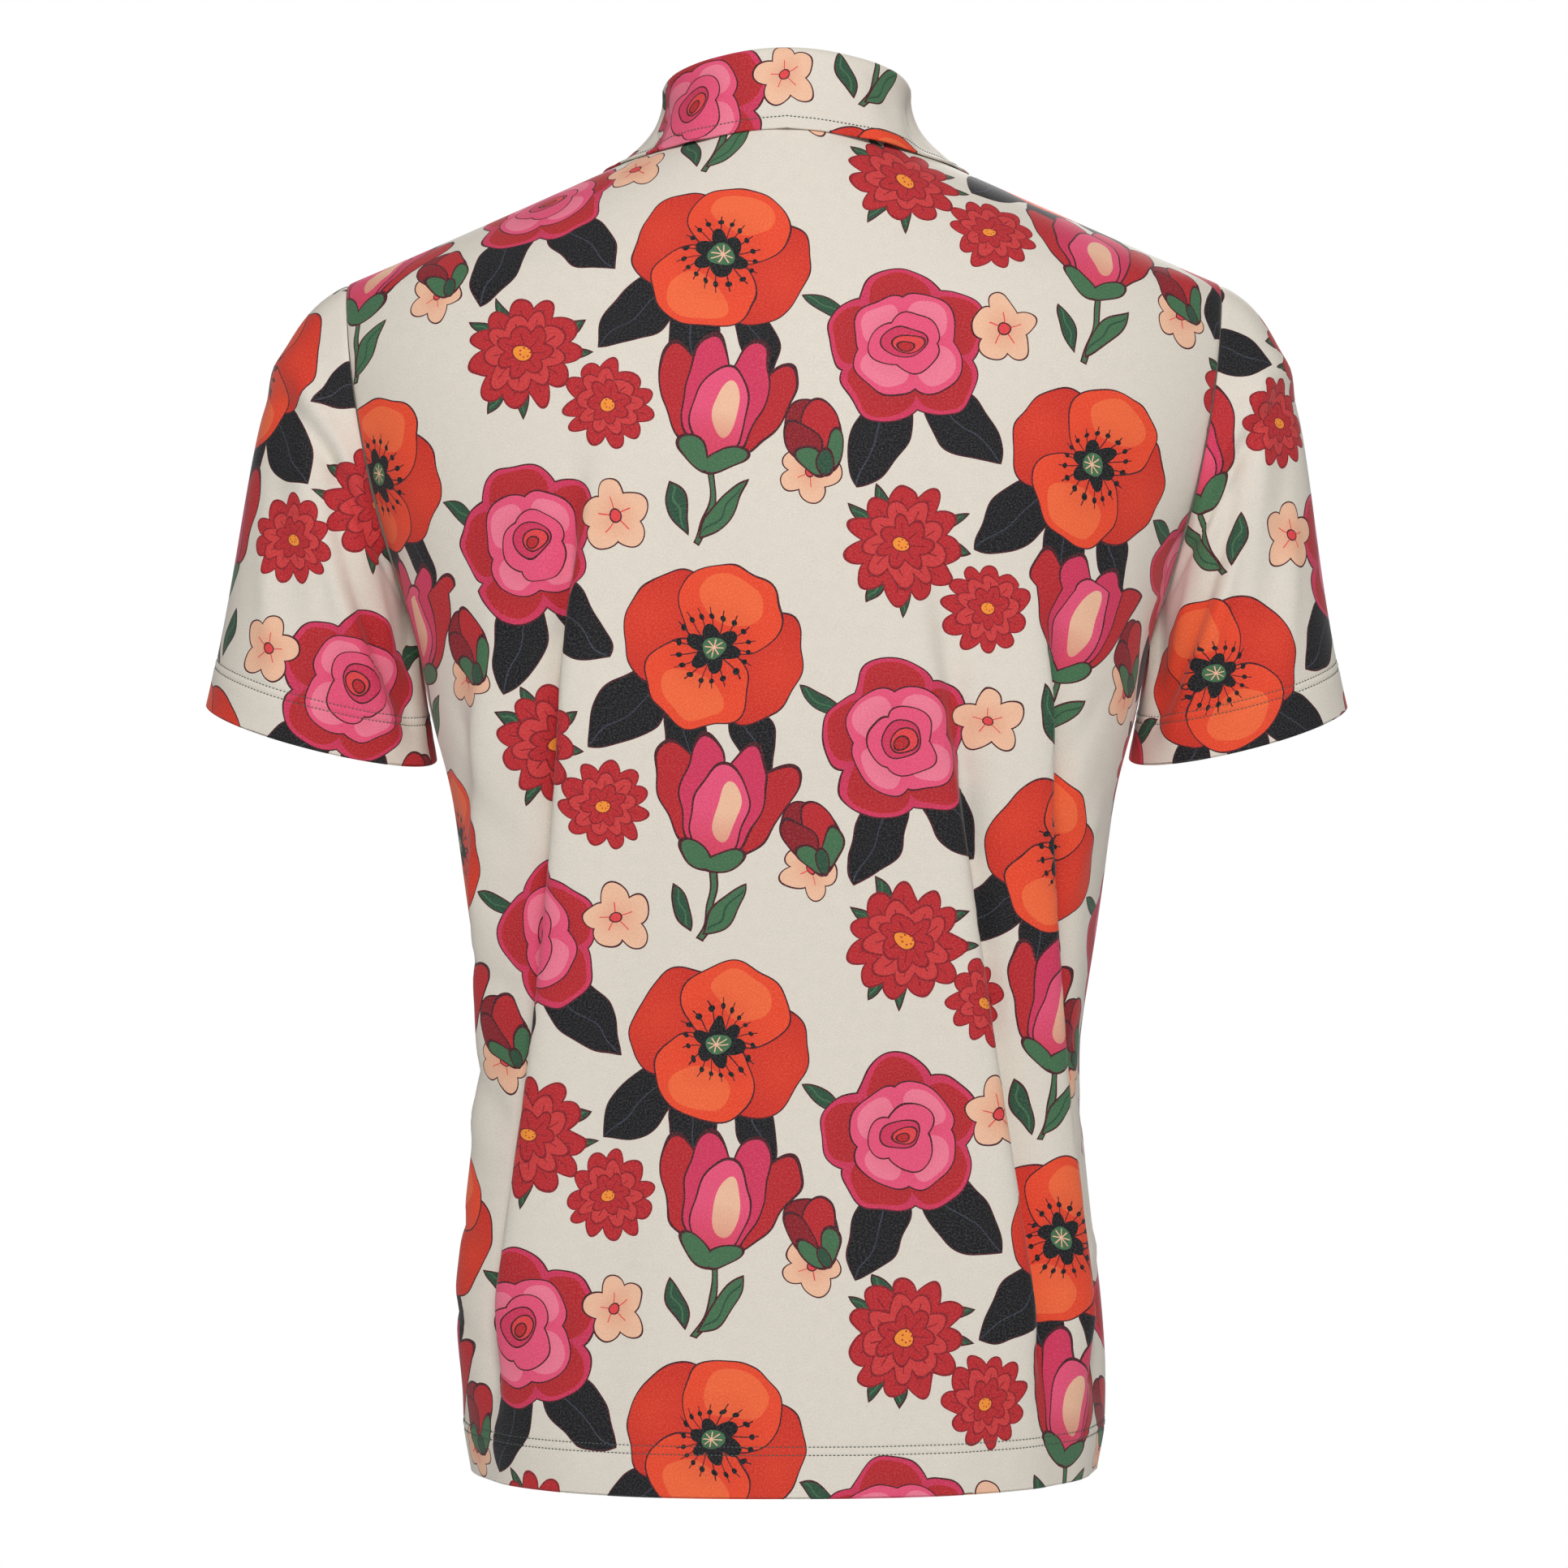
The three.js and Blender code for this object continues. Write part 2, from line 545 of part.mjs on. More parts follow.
// A closed wall: the grid's points outside, and the same points moved in by the cloth's thickness.
// Its edges stand back by half the seam gap. keep says which cells are cloth.
function wallGeometry({ grid, normals, wraps = false, facing = 1, thick = () => CLOTH, keep = () => true }) {
  const rows = grid.length;
  const columns = grid[0].length;
  const cellColumns = wraps ? columns : columns - 1;
  const cell = (r, c) => {
    if (r < 0 || r >= rows - 1) return false;
    if (wraps) return keep(r, around(c, columns));
    return c >= 0 && c < cellColumns && keep(r, c);
  };
  const outer = grid.map((row, r) =>
    row.map((p, c) => {
      const beside = [[r - 1, c - 1], [r - 1, c], [r, c - 1], [r, c]].map(([y, x]) => cell(y, x));
      if (beside.every(Boolean)) return p.clone();
      const pull = new THREE.Vector3();
      const toward = (dr, dc) => {
        const column = (wraps ? around : within)(c + dc, columns);
        const step = grid[within(r + dr, rows)][column].clone().sub(p);
        if (step.length() > 0) pull.add(step.normalize());
      };
      if (!beside[0] && !beside[1]) toward(1, 0);
      if (!beside[2] && !beside[3]) toward(-1, 0);
      if (!beside[0] && !beside[2]) toward(0, 1);
      if (!beside[1] && !beside[3]) toward(0, -1);
      return p.clone().addScaledVector(pull, SEAM_GAP / 2);
    }),
  );
  const inward = (p, r, c) => p.clone().addScaledVector(normals[r][c], -thick(r));
  const inner = outer.map((row, r) => row.map((p, c) => inward(p, r, c)));
  const corners = [];
  const quad = (a, b, c, d) => {
    const order = facing > 0 ? [a, b, c, a, c, d] : [a, c, b, a, d, c];
    for (const p of order) corners.push(p.x, p.y, p.z);
  };
  for (let r = 0; r < rows - 1; r++) {
    for (let c = 0; c < cellColumns; c++) {
      if (!cell(r, c)) continue;
      const n = around(c + 1, columns);
      quad(outer[r][c], outer[r][n], outer[r + 1][n], outer[r + 1][c]);
      quad(inner[r + 1][c], inner[r + 1][n], inner[r][n], inner[r][c]);
      if (!cell(r - 1, c)) quad(inner[r][c], inner[r][n], outer[r][n], outer[r][c]);
      if (!cell(r + 1, c)) quad(outer[r + 1][c], outer[r + 1][n], inner[r + 1][n], inner[r + 1][c]);
      if (!cell(r, c - 1)) quad(inner[r + 1][c], inner[r][c], outer[r][c], outer[r + 1][c]);
      if (!cell(r, c + 1)) quad(outer[r + 1][n], outer[r][n], inner[r][n], inner[r + 1][n]);
    }
  }
  return new THREE.BufferGeometry().setAttribute("position", new THREE.Float32BufferAttribute(corners, 3));
}

// ---- placket ----
// A strip along the centre front, made from the front's points below its neckline and moved off mm out from
// its outer face.
function placketGeometry(front, off) {
  const slotEdge = front.grid[0].length / 2;
  const lowest = FRONT_NECK_Z - PLACKET.length - PLACKET.overlap;
  const places = [-PLACKET.width / 2, -PLACKET.slot / 2, 0, PLACKET.slot / 2, PLACKET.width / 2];
  const rowsUp = front.grid.map((_, r) => r).filter((r) => front.grid[r][slotEdge].z > lowest);
  const grid = rowsUp.slice(0, -1).map((r) => {
    const [a, b] = [front.grid[r][slotEdge], front.grid[r][slotEdge + 1]];
    const [na, nb] = [front.normals[r][slotEdge], front.normals[r][slotEdge + 1]];
    return places.map((x) => {
      const beyond = Math.max(0, (Math.abs(x) - a.x) / (b.x - a.x));
      const p = a.clone().lerp(b, beyond);
      const n = na.clone().lerp(nb, beyond).normalize();
      if (Math.abs(x) <= a.x) n.x *= Math.abs(x) / a.x;
      n.normalize();
      p.x = Math.abs(x);
      p.addScaledVector(n, off);
      return x < 0 ? new THREE.Vector3(-p.x, p.y, p.z) : p;
    });
  });
  return wallGeometry({ grid, normals: gridNormals(grid, false, 1), thick: () => PLACKET.cloth });
}

// ---- buttons ----
const wasm = await Module();
wasm.setup();

function solidOf(geometry) {
  const bare = geometry.clone();
  bare.deleteAttribute("normal");
  bare.deleteAttribute("uv");
  const merged = mergeVertices(bare, 1e-4);
  return new wasm.Manifold(
    new wasm.Mesh({
      numProp: 3,
      vertProperties: merged.attributes.position.array,
      triVerts: new Uint32Array(merged.index.array),
    }),
  );
}

function geometryOf(solid) {
  const mesh = solid.getMesh();
  return new THREE.BufferGeometry()
    .setAttribute("position", new THREE.BufferAttribute(new Float32Array(mesh.vertProperties), 3))
    .setIndex(new THREE.BufferAttribute(mesh.triVerts, 1));
}

// A round button with a raised rim and four sewing holes, its back at the origin and facing +Z.
function buttonGeometry() {
  const { radius, thick, edge, round, rim, dish, holeRadius, holeAt } = BUTTON;
  const profile = [
    [0, 0],
    [radius - edge, 0],
    [radius, edge],
    [radius, thick - round],
    [radius - round, thick],
    [radius - rim, thick],
    [radius - rim - dish, thick - dish],
    [0, thick - dish],
  ].map(([x, y]) => new THREE.Vector2(x, y));
  let solid = solidOf(new THREE.LatheGeometry(profile, 20).rotateX(Math.PI / 2));
  for (let i = 0; i < 4; i++) {
    const angle = Math.PI / 4 + (i * Math.PI) / 2;
    const hole = new THREE.CylinderGeometry(holeRadius, holeRadius, thick * 2, 8)
      .rotateX(Math.PI / 2)
      .translate(holeAt * Math.cos(angle), holeAt * Math.sin(angle), thick / 2);
    solid = solid.subtract(solidOf(hole));
  }
  return geometryOf(solid);
}

// ---- the shirt ----
const printedCloth = new THREE.MeshStandardMaterial({ color: 0xded8cb, roughness: 0.85, metalness: 0 });
const buttonPlastic = new THREE.MeshStandardMaterial({ color: 0xe9e4da, roughness: 0.35, metalness: 0 });
printedCloth.name = "printed_jersey";
buttonPlastic.name = "button_plastic";
const shirt = new THREE.Group();
shirt.name = "polo_shirt";

function add(name, geometry, material) {
  const mesh = new THREE.Mesh(geometry, material);
  mesh.name = name;
  shirt.add(mesh);
  return mesh;
}

const backGrid = panelGrid("back");
const frontGrid = panelGrid("front");
const firstUpper = panelRows().findIndex((row) => row.share !== null);

// Round the left armhole from the underarm up the back's edge and down the front's.
const backEdge = backGrid.slice(firstUpper).map((row) => row[row.length - 1]);
const frontEdge = frontGrid.slice(firstUpper).map((row) => row[row.length - 1]);
const armhole = [...backEdge, ...frontEdge.slice(1, -1).reverse()];
const leftSleeve = sleeveGrid(armhole, SLEEVE_HEM.left);
const turnedOver = (p) => new THREE.Vector3(-p.x, p.y, p.z);
const rightSleeve = sleeveGrid(armhole, SLEEVE_HEM.right).map((row) => row.map(turnedOver));

const pieces = {
  back: { grid: backGrid, normals: gridNormals(backGrid, false, -1), facing: -1 },
  front: { grid: frontGrid, normals: gridNormals(frontGrid, false, 1), facing: 1 },
  left: { grid: leftSleeve, normals: gridNormals(leftSleeve, true, 1), facing: 1, wraps: true },
  right: { grid: rightSleeve, normals: gridNormals(rightSleeve, true, -1), facing: -1, wraps: true },
};
shareNormals(Object.values(pieces));

const hemRows = 2; // the first rows of cells are the turned-up hem
const panelThick = (r) => (r < hemRows ? HEM_CLOTH : CLOTH);
const sleeveThick = (r) => (r >= SLEEVE_ROWS - 1 ? HEM_CLOTH : CLOTH);
const slotBottom = FRONT_NECK_Z - PLACKET.length;
const slotCell = frontGrid[0].length / 2 - 1;
const isCloth = (r, c) => c !== slotCell || frontGrid[r][c].z < slotBottom;

add("back_panel", wallGeometry({ ...pieces.back, thick: panelThick }), printedCloth);
add("front_panel", wallGeometry({ ...pieces.front, thick: panelThick, keep: isCloth }), printedCloth);
add("sleeve_left", wallGeometry({ ...pieces.left, thick: sleeveThick }), printedCloth);
add("sleeve_right", wallGeometry({ ...pieces.right, thick: sleeveThick }), printedCloth);

const posts = collarPosts(neckline(pieces.back, pieces.front));
const stand = standGrid(posts);
const fall = fallGrid(posts);
add("collar_stand", wallGeometry({ grid: stand, normals: gridNormals(stand, false, 1) }), printedCloth);
add("collar_fall", wallGeometry({ grid: fall, normals: gridNormals(fall, false, 1) }), printedCloth);

const overOff = SEAM_GAP + PLACKET.cloth;
const underOff = -CLOTH - SEAM_GAP;
add("placket_over", placketGeometry(pieces.front, overOff), printedCloth);
add("placket_under", placketGeometry(pieces.front, underOff), printedCloth);

const button = buttonGeometry();
BUTTON.below.forEach((below, i) => {
  const z = FRONT_NECK_Z - below;
  const y = depthAt("front", 0, z);
  const { radius } = BUTTON;
  const slope = (depthAt("front", 0, z + radius) - depthAt("front", 0, z - radius)) / (2 * radius);
  const face = new THREE.Vector3(0, -1, slope).normalize();
  const mesh = add("button_" + (i + 1), button, buttonPlastic);
  mesh.quaternion.setFromUnitVectors(new THREE.Vector3(0, 0, 1), face);
  mesh.position.set(0, y, z).addScaledVector(face, overOff + BUTTON.off);
});

export default shirt;
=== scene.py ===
"""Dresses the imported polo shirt: a fine cloth shell over each solid, floral print, sewing and buttons.

Lengths are millimetres up to the point where a mesh is made, and metres from there on. The front faces -Y and
the wearer's left is +X, as in the frame. Each sub-part has an operator of its own, listed in the sidebar.
"""

import math
from types import SimpleNamespace

import bpy
import numpy as np
from bpy.props import FloatProperty, FloatVectorProperty, PointerProperty
from mathutils import Matrix, Vector


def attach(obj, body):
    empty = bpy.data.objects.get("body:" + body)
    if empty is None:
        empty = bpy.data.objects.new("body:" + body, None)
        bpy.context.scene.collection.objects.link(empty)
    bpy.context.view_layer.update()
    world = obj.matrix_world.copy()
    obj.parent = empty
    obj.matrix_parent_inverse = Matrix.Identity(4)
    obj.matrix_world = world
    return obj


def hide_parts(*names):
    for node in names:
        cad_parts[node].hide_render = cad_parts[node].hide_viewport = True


bl_info = {
    "name": "Polo shirt",
    "version": (1, 0, 0),
    "blender": (4, 5, 0),
    "location": "3D View > Sidebar > Polo shirt",
    "description": "Cloth, floral print, stitches and buttons for the packed polo shirt",
    "category": "Object",
}

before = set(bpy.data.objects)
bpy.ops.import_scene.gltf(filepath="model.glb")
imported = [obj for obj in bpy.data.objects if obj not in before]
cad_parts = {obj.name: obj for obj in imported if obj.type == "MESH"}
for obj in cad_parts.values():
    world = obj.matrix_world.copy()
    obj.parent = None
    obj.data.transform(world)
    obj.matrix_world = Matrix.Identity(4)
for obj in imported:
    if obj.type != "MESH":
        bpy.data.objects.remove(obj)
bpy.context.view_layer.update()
MM = 0.001


def table(columns, *rows):
    """A short table: one record for each row, with the columns' names."""
    return [SimpleNamespace(**dict(zip(columns.split(), row))) for row in rows]


# ---- the shirt's form, as in the solids ----
HEM_Z = -708
HEM_DEPTH = 25
UNDERARM_Z = -264
WAIST_Z = -400
NECK_X = 74  # neck end of a shoulder seam, at height 0
SHOULDER_TIP = Vector((236, -4, -70))
BACK_NECK_Z = 13
FRONT_NECK_Z = -78
UNDERARM_X = 198
ARMHOLE_BOW = {"back": 6, "front": -8}
FACING = {"back": -1, "front": 1}  # how a panel's rows and columns cross to give its outer face
CHEST_POWERS = (2.5, 2.5)
SHOULDER_POWERS = (2.1, 1.75)
POWER_BLEND = 40
FRONT_NECK_POWER = 1.2
SEAM_GAP = 0.3
SHOULDER_RUN = (SHOULDER_TIP.x - NECK_X) / -SHOULDER_TIP.z
ARMHOLE_RISE = SHOULDER_TIP.z - UNDERARM_Z

SECTIONS = table(
    "z half back front",
    (HEM_Z, 169, 121, 118),
    (-680, 172, 120, 119),
    (-620, 169.5, 115, 120),
    (-560, 165, 109, 121),
    (-490, 160.5, 105, 123),
    (-430, 165.5, 107, 126),
    (-356, 177, 112, 130),
    (-310, 189, 117, 132),
    (UNDERARM_Z, UNDERARM_X, 119, 131),
    (-215, 215, 120, 127),
    (-170, 238, 118, 118),
    (-120, 254, 112, 100),
    (-90, 250, 105, 83),
    (SHOULDER_TIP.z, SHOULDER_TIP.x, 99, 72),
    (-30, 143, 82, 58),
    (BACK_NECK_Z, 61, 60, 44),
)

# Long hanging folds: where each starts and is full, its distance round from the centre line at its start, at
# the waist and at the hem, its rise (a trough is negative), its width, and how far its crest leans sideways.
FOLDS = table(
    "side start full top waist hem rise width lean",
    ("back", -105, -290, 88, 108, 156, 9, 17, 15),
    ("back", -110, -290, 105, 125, 174, -14, 10, 0),
    ("back", -220, -330, 152, 166, 205, 9, 15, 6),
    ("back", -160, -400, -54, -84, -136, 8, 18, -11),
    ("back", -160, -400, -70, -101, -154, -12, 10, 0),
    ("back", -215, -310, -126, -130, -178, 8, 15, -13),
    ("back", -230, -330, -146, -152, -200, -12, 11, 0),
    ("front", -190, -400, 116, 128, 150, 8, 24, 4),
    ("front", -210, -380, 146, 160, 182, -10, 14, 0),
    ("front", -180, -420, -98, -112, -134, 8, 22, -6),
    ("front", -200, -360, -134, -148, -170, -9, 14, 0),
    ("front", -230, -340, -176, -188, -206, 6, 15, 0),
    ("front", -420, -640, 52, 56, 74, -5, 22, 0),
)
LEAN_WIDTH = 0.72  # of the fold's own
FOLD_CALM = 0.86  # share of the half row past which a panel's relief fades out
FOLD_HEM = SimpleNamespace(top=-605, left=0.06)  # the stitched hem flattens them
FOLD_TOP = 0.87  # share of the way to the top edge where the long folds end
SIDE_WAVE = SimpleNamespace(swing=2.2, length=37, below=20, over=60, start=0.6)

# Smaller creases: from one point to another, each as the distance round from the centre line and the height.
CREASES = table(
    "side u0 z0 u1 z1 rise width",
    ("back", 62, -168, 24, -118, -1.0, 5),
    ("back", -96, -200, -60, -146, -1.2, 6),
    ("back", 118, -196, 92, -120, 1.4, 9),
    ("back", 186, -300, 150, -372, -2.2, 7),
    ("back", 196, -336, 158, -420, 2.0, 7),
    ("back", 190, -420, 150, -452, -2.0, 6),
    ("back", 196, -470, 160, -520, -2.4, 6),
    ("back", 200, -498, 168, -536, 1.8, 6),
    ("back", 206, -560, 176, -588, -1.8, 5),
    ("back", 214, -604, 178, -640, -2.0, 6),
    ("back", -178, -296, -142, -352, -2.0, 7),
    ("back", -186, -352, -150, -420, 1.8, 7),
    ("back", -190, -470, -154, -512, -2.0, 6),
    ("back", -196, -540, -160, -566, -2.2, 5),
    ("back", -204, -584, -166, -626, 1.8, 6),
    ("back", -206, -628, -176, -656, -1.8, 5),
    ("back", 36, -452, 24, -664, -1.1, 14),
    ("back", -26, -520, -44, -690, 1.2, 15),
    ("back", 84, -560, 96, -700, -1.4, 12),
    ("back", -84, -590, -92, -700, 1.2, 12),
    ("back", 10, -206, 4, -340, 0.8, 18),
    ("front", 150, -270, 92, -214, -2.0, 9),
    ("front", -152, -280, -98, -226, -2.0, 9),
    ("front", 196, -300, 150, -356, -2.0, 7),
    ("front", -198, -310, -156, -364, -2.0, 7),
    ("front", 192, -452, 150, -488, -2.2, 6),
    ("front", -194, -440, -150, -470, -2.2, 6),
    ("front", 198, -524, 162, -560, 1.8, 6),
    ("front", -200, -520, -160, -556, -2.0, 6),
    ("front", 206, -600, 172, -636, -1.8, 6),
    ("front", -206, -592, -170, -620, 1.8, 6),
    ("front", 30, -300, 22, -470, -1.2, 16),
    ("front", -34, -330, -28, -560, 1.2, 18),
    ("front", 84, -520, 98, -700, -1.4, 14),
    ("front", -64, -560, -78, -700, -1.3, 14),
)
CREASE_ENDS = 0.35  # share of a crease's length over which each end fades
DRIFT = table("along up turn rise", (61, 143, 0.4, 0.55), (97, 71, 1.9, 0.4), (43, 211, 3.1, 0.35))
DRIFT_SHIFT = {"back": 0, "front": 2}

# Sleeve creases: place round in turns (0 underarm, 0.25 back, 0.5 top, 0.75 front) at the armhole and at the
# hem, share of the length where it peaks, its spread along the sleeve, rise and width in turns.
SLEEVE_CREASES = table(
    "start end peak reach rise width",
    (0.42, 0.06, 0.45, 0.3, 3.8, 0.04),
    (0.34, 0.0, 0.38, 0.3, -4.2, 0.034),
    (0.5, 0.2, 0.55, 0.3, -2.5, 0.045),
    (0.62, 0.95, 0.42, 0.3, 3.5, 0.045),
    (0.7, 1.02, 0.36, 0.3, -3.5, 0.04),
    (0.3, 0.1, 0.62, 0.24, 2.8, 0.02),
    (0.37, 0.16, 0.5, 0.24, -2.8, 0.018),
    (0.22, 0.02, 0.3, 0.2, 1.6, 0.02),
    (0.46, 0.3, 0.66, 0.24, 2.2, 0.02),
    (0.27, 0.2, 0.8, 0.16, -1.5, 0.02),
    (0.66, 0.84, 0.55, 0.2, -1.8, 0.02),
    (0.8, 0.94, 0.3, 0.2, 1.8, 0.022),
    (0.58, 0.7, 0.72, 0.18, 1.4, 0.022),
    (0.17, 1.35, 0.15, 0.12, 4.4, 0.05),
    (0.09, 1.27, 0.15, 0.12, -4.4, 0.038),
)
SLEEVE_CALM = SimpleNamespace(top=0.15, hem=0.2)  # shares over which they fade in and out
SLEEVE_HEM = SimpleNamespace(y=-14, z=-313, deep=50)
SLEEVE_SIDES = {
    "left": SimpleNamespace(x=252, across=64, sign=1),
    "right": SimpleNamespace(x=247.4, across=60.5, sign=-1),
}
ARM = Vector((0.268, -0.194, -1)).normalized()
FOLDED_BACK = 0.2  # share of the armhole's height below which the sleeve stands off the panels
SLEEVE_CURVE = SimpleNamespace(out=0.92, out_power=1.15, side=0.12, straight=0.6, leave=0.25, arrive=0.5)

# The collar: 0 centre front, 1 neck point, 2 centre back. No y means that the edge lies on the front panel.
COLLAR = table(
    "at height lean bow x y z",
    (0, 27, 2, 4, 50, None, -106),
    (0.33, 27, 5, 6, 75, None, -84),
    (0.66, 29, 10, 5, 94, None, -50),
    (1, 31, 13, -8, 100, -8, -10),
    (1.17, 31.5, 8.5, -9, 91.5, 12, -7),
    (1.33, 32, 4.5, -7, 81, 29, -5),
    (1.5, 32.3, 4, -3, 65.5, 45.5, -1.4),
    (1.66, 32.5, 6, 0, 49, 58, 1.6),
    (2, 33, 10, 1, 0, 69, 6.4),
)
# The fall turns sharply forward beside the neck: where the turn runs at its top and at its edge, how far the
# cloth stands out behind it and dips before it, and how wide each is.
NECK_TURN = SimpleNamespace(top=1.24, edge=1.47, out=1.6, behind=0.08, dip=-4.2, before=0.09, width=0.075)
ROLL = table("out rise", (-1.5, 0.9), (-1.2, 2.5), (0.6, 3.7), (3.4, 3.3), (5.5, 0.6))
COLLAR_SHIFT = -1.5
STAND_BULGE = -1.2
FALL_SPANS = 8
FALL_BOW = 1.4  # power of the way down at which the turn's dent is deepest
FALL_DROP = 2.4  # the most that its edge sinks to lie on the cloth
FALL_CLEAR = 2.1  # from its outer face to the body
FALL_STEP = 0.05  # it is lifted and let down by this much at a time
FALL_STEPS = 400  # at most
FALL_EVENED = 6  # times
EDGE_OFF = 3  # from the front panel to the fall's edge
COLLAR_TOPSTITCH = 6.5

PLACKET = SimpleNamespace(width=31, slot=25, length=150, overlap=12, cloth=1.8, shell=1.6, top=3.5, under=1.5)
PRINT_OFFSETS = {
    "back": (12, 30),
    "front": (96, 118),
    "sleeve left": (40, 88),
    "sleeve right": (150, 30),
    "collar": (100, 150),
    "placket": (100, 60),
}

BUTTON = SimpleNamespace(radius=5.5, thick=2.4, off=0.45, below=(14, 68, 122), segments=48, sharp=40)
BUTTON_HOLES = SimpleNamespace(count=4, radius=0.8, out=1.7, segments=20)
BUTTON_THREAD = SimpleNamespace(deep=0.55, reach=1.2)  # below the face, and as a share of the holes' spread
# How far each ring lies inside the full radius, and how high over the back or how deep below the face.
BUTTON_BACK = ((0.8, 0), (0.2, 0.25), (0, 0.8))
BUTTON_FACE = ((0, 0.7), (0.15, 0.25), (0.5, 0), (0.9, 0), (1.3, 0.3), (1.8, 0.7))

# ---- the stage: metres, watts, and millimetres for the camera's sensor ----
SENSOR = 36
FLOOR_SIDES = 96
LIGHTS = table(
    "name place aim power size",
    ("key", (-0.1, 2.8, 1.6), (0, 0, -0.28), 67, 1.1),
    ("fill", (0.2, 2.7, -0.6), (0, 0, -0.35), 3.5, 1.2),
    ("front", (-0.5, -2.9, 1.5), (0, 0, -0.3), 62, 1.2),
)

# ---- relief of the sewing: how far each pushes the outer face out, and over what width ----
SEAM_DIP = SimpleNamespace(rise=-0.6, width=1.6)
HEM_BAND = SimpleNamespace(rise=0.45, ease=4)
HEM_STITCHES = (22.4, 26.6)
HEM_GROOVE = SimpleNamespace(rise=-0.6, width=0.8)
HEM_PUCKER = SimpleNamespace(rise=0.16, every=1.3, drift=1.5, slow=17, middle=24.5, reach=6)
HEM_STEP = 3  # over which its second layer thins out
STITCH_LIFT = 0.12

# ---- how finely the cloth is divided ----
HALF_COLUMNS = 60
SLOT_COLUMNS = 5
NECK_COLUMN = 22  # the one that ends at the neck point
UPPER_ROWS = 52
ROW_STEP = 4.6
SEAM_STEPS = (7.5, 5.0, 3.2, 1.8, 0.8, 0.0)  # distances from a seam at which the columns run
HEM_ROWS = (0, 0.6, 1.4, 3, 6, 10, 14, 18, 20.6, 21.7, 22.4, 23.1, 24.5, 25.9, 26.6, 27.3, 28.6, 31, 35)
LINE_STEPS = 240
NECK_STEPS = 80
NECK_EASE = SimpleNamespace(rise=0.15, power=0.3)  # keeps the columns apart towards the shoulder seam
FLATTEN_ROUNDS = 80
FLATTEN_STEPS = {"panel": (6, 2), "sleeve": (4, 4)}  # it works on every so manieth row and column
TIE_LIMITS = (0.02, 20)  # least and most weight of a triangle's side
HIGH_ROW = 100  # of a panel, a little below the underarm


# ---- small maths ----
def clamp01(t):
    return np.clip(t, 0.0, 1.0)


def mix(a, b, t):
    return a + (b - a) * t


def smooth(t):
    t = clamp01(t)
    return t * t * (3 - 2 * t)


def bump(t):
    return np.exp(-t * t)


def smooth_through(xs, ys, x):
    """A smooth curve through points, read at x."""
    before = np.maximum(np.arange(len(xs)) - 1, 0)
    after = np.minimum(np.arange(len(xs)) + 1, len(xs) - 1)
    slopes = (ys[after] - ys[before]) / (xs[after] - xs[before])
    i = np.clip(np.searchsorted(xs, x) - 1, 0, len(xs) - 2)
    h = xs[i + 1] - xs[i]
    t = clamp01((x - xs[i]) / h)
    t2, t3 = t * t, t * t * t
    start = (2 * t3 - 3 * t2 + 1) * ys[i] + (t3 - 2 * t2 + t) * h * slopes[i]
    return start + (3 * t2 - 2 * t3) * ys[i + 1] + (t3 - t2) * h * slopes[i + 1]


def spline(rows, key, want):
    """A smooth curve through a table's rows, read as a function of the key column."""
    xs = np.array([getattr(row, key) for row in rows], float)
    ys = np.array([getattr(row, want) for row in rows], float)
    return lambda x: smooth_through(xs, ys, x)


def unit(vectors):
    return vectors / np.maximum(np.linalg.norm(vectors, axis=-1, keepdims=True), 1e-9)


def lengths(points):
    """Distance along a line of points, from its first."""
    return np.concatenate([[0], np.cumsum(np.linalg.norm(np.diff(points, axis=0), axis=1))])


def read_line(line, along, want):
    """A line's points at wanted distances along it."""
    return np.stack([np.interp(want, along, line[:, i]) for i in range(3)], axis=-1)


def running(grid, axis):
    """Distance along a grid's rows, axis 1, or down its columns, axis 0, from the first point of each."""
    steps = np.linalg.norm(np.diff(grid, axis=axis), axis=2)
    start = np.zeros_like(np.take(steps, [0], axis=axis))
    return np.concatenate([start, np.cumsum(steps, axis=axis)], axis=axis)


def grid_normals(grid, facing, wraps=False):
    """Unit normals of a grid of points, by differences. A grid that wraps ends on its first column again."""
    if not wraps:
        return unit(np.cross(np.gradient(grid, axis=1), np.gradient(grid, axis=0)) * facing)
    ring = grid[:, :-1]
    across = np.roll(ring, -1, axis=1) - np.roll(ring, 1, axis=1)
    normals = unit(np.cross(across, np.gradient(ring, axis=0)) * facing)
    return np.concatenate([normals, normals[:, :1]], axis=1)


# ---- the body's surface ----
half_width = spline(SECTIONS, "z", "half")
centre_depth = {side: spline(SECTIONS, "z", side) for side in ("back", "front")}


def section_at(z):
    """Half width and the two powers of the form's level section."""
    risen = smooth((z - UNDERARM_Z + POWER_BLEND) / (ARMHOLE_RISE + POWER_BLEND))
    p = mix(CHEST_POWERS[0], SHOULDER_POWERS[0], risen)
    q = mix(CHEST_POWERS[1], SHOULDER_POWERS[1], risen)
    on_shoulder = NECK_X - z * np.where(z < 0, SHOULDER_RUN, 1)
    return np.where(z < SHOULDER_TIP.z, half_width(z), on_shoulder), p, q


def depth_at(side, x, z):
    """Depth of the plain surface, without folds."""
    half, p, q = section_at(z)
    across = clamp01(np.abs(x) / half)
    out = (1 if side == "back" else -1) * centre_depth[side](z)
    seam = SHOULDER_TIP.y * clamp01((z - UNDERARM_Z) / ARMHOLE_RISE) * clamp01(z / SHOULDER_TIP.z)
    return out * (1 - across**p) ** (1 / q) + seam * across**2


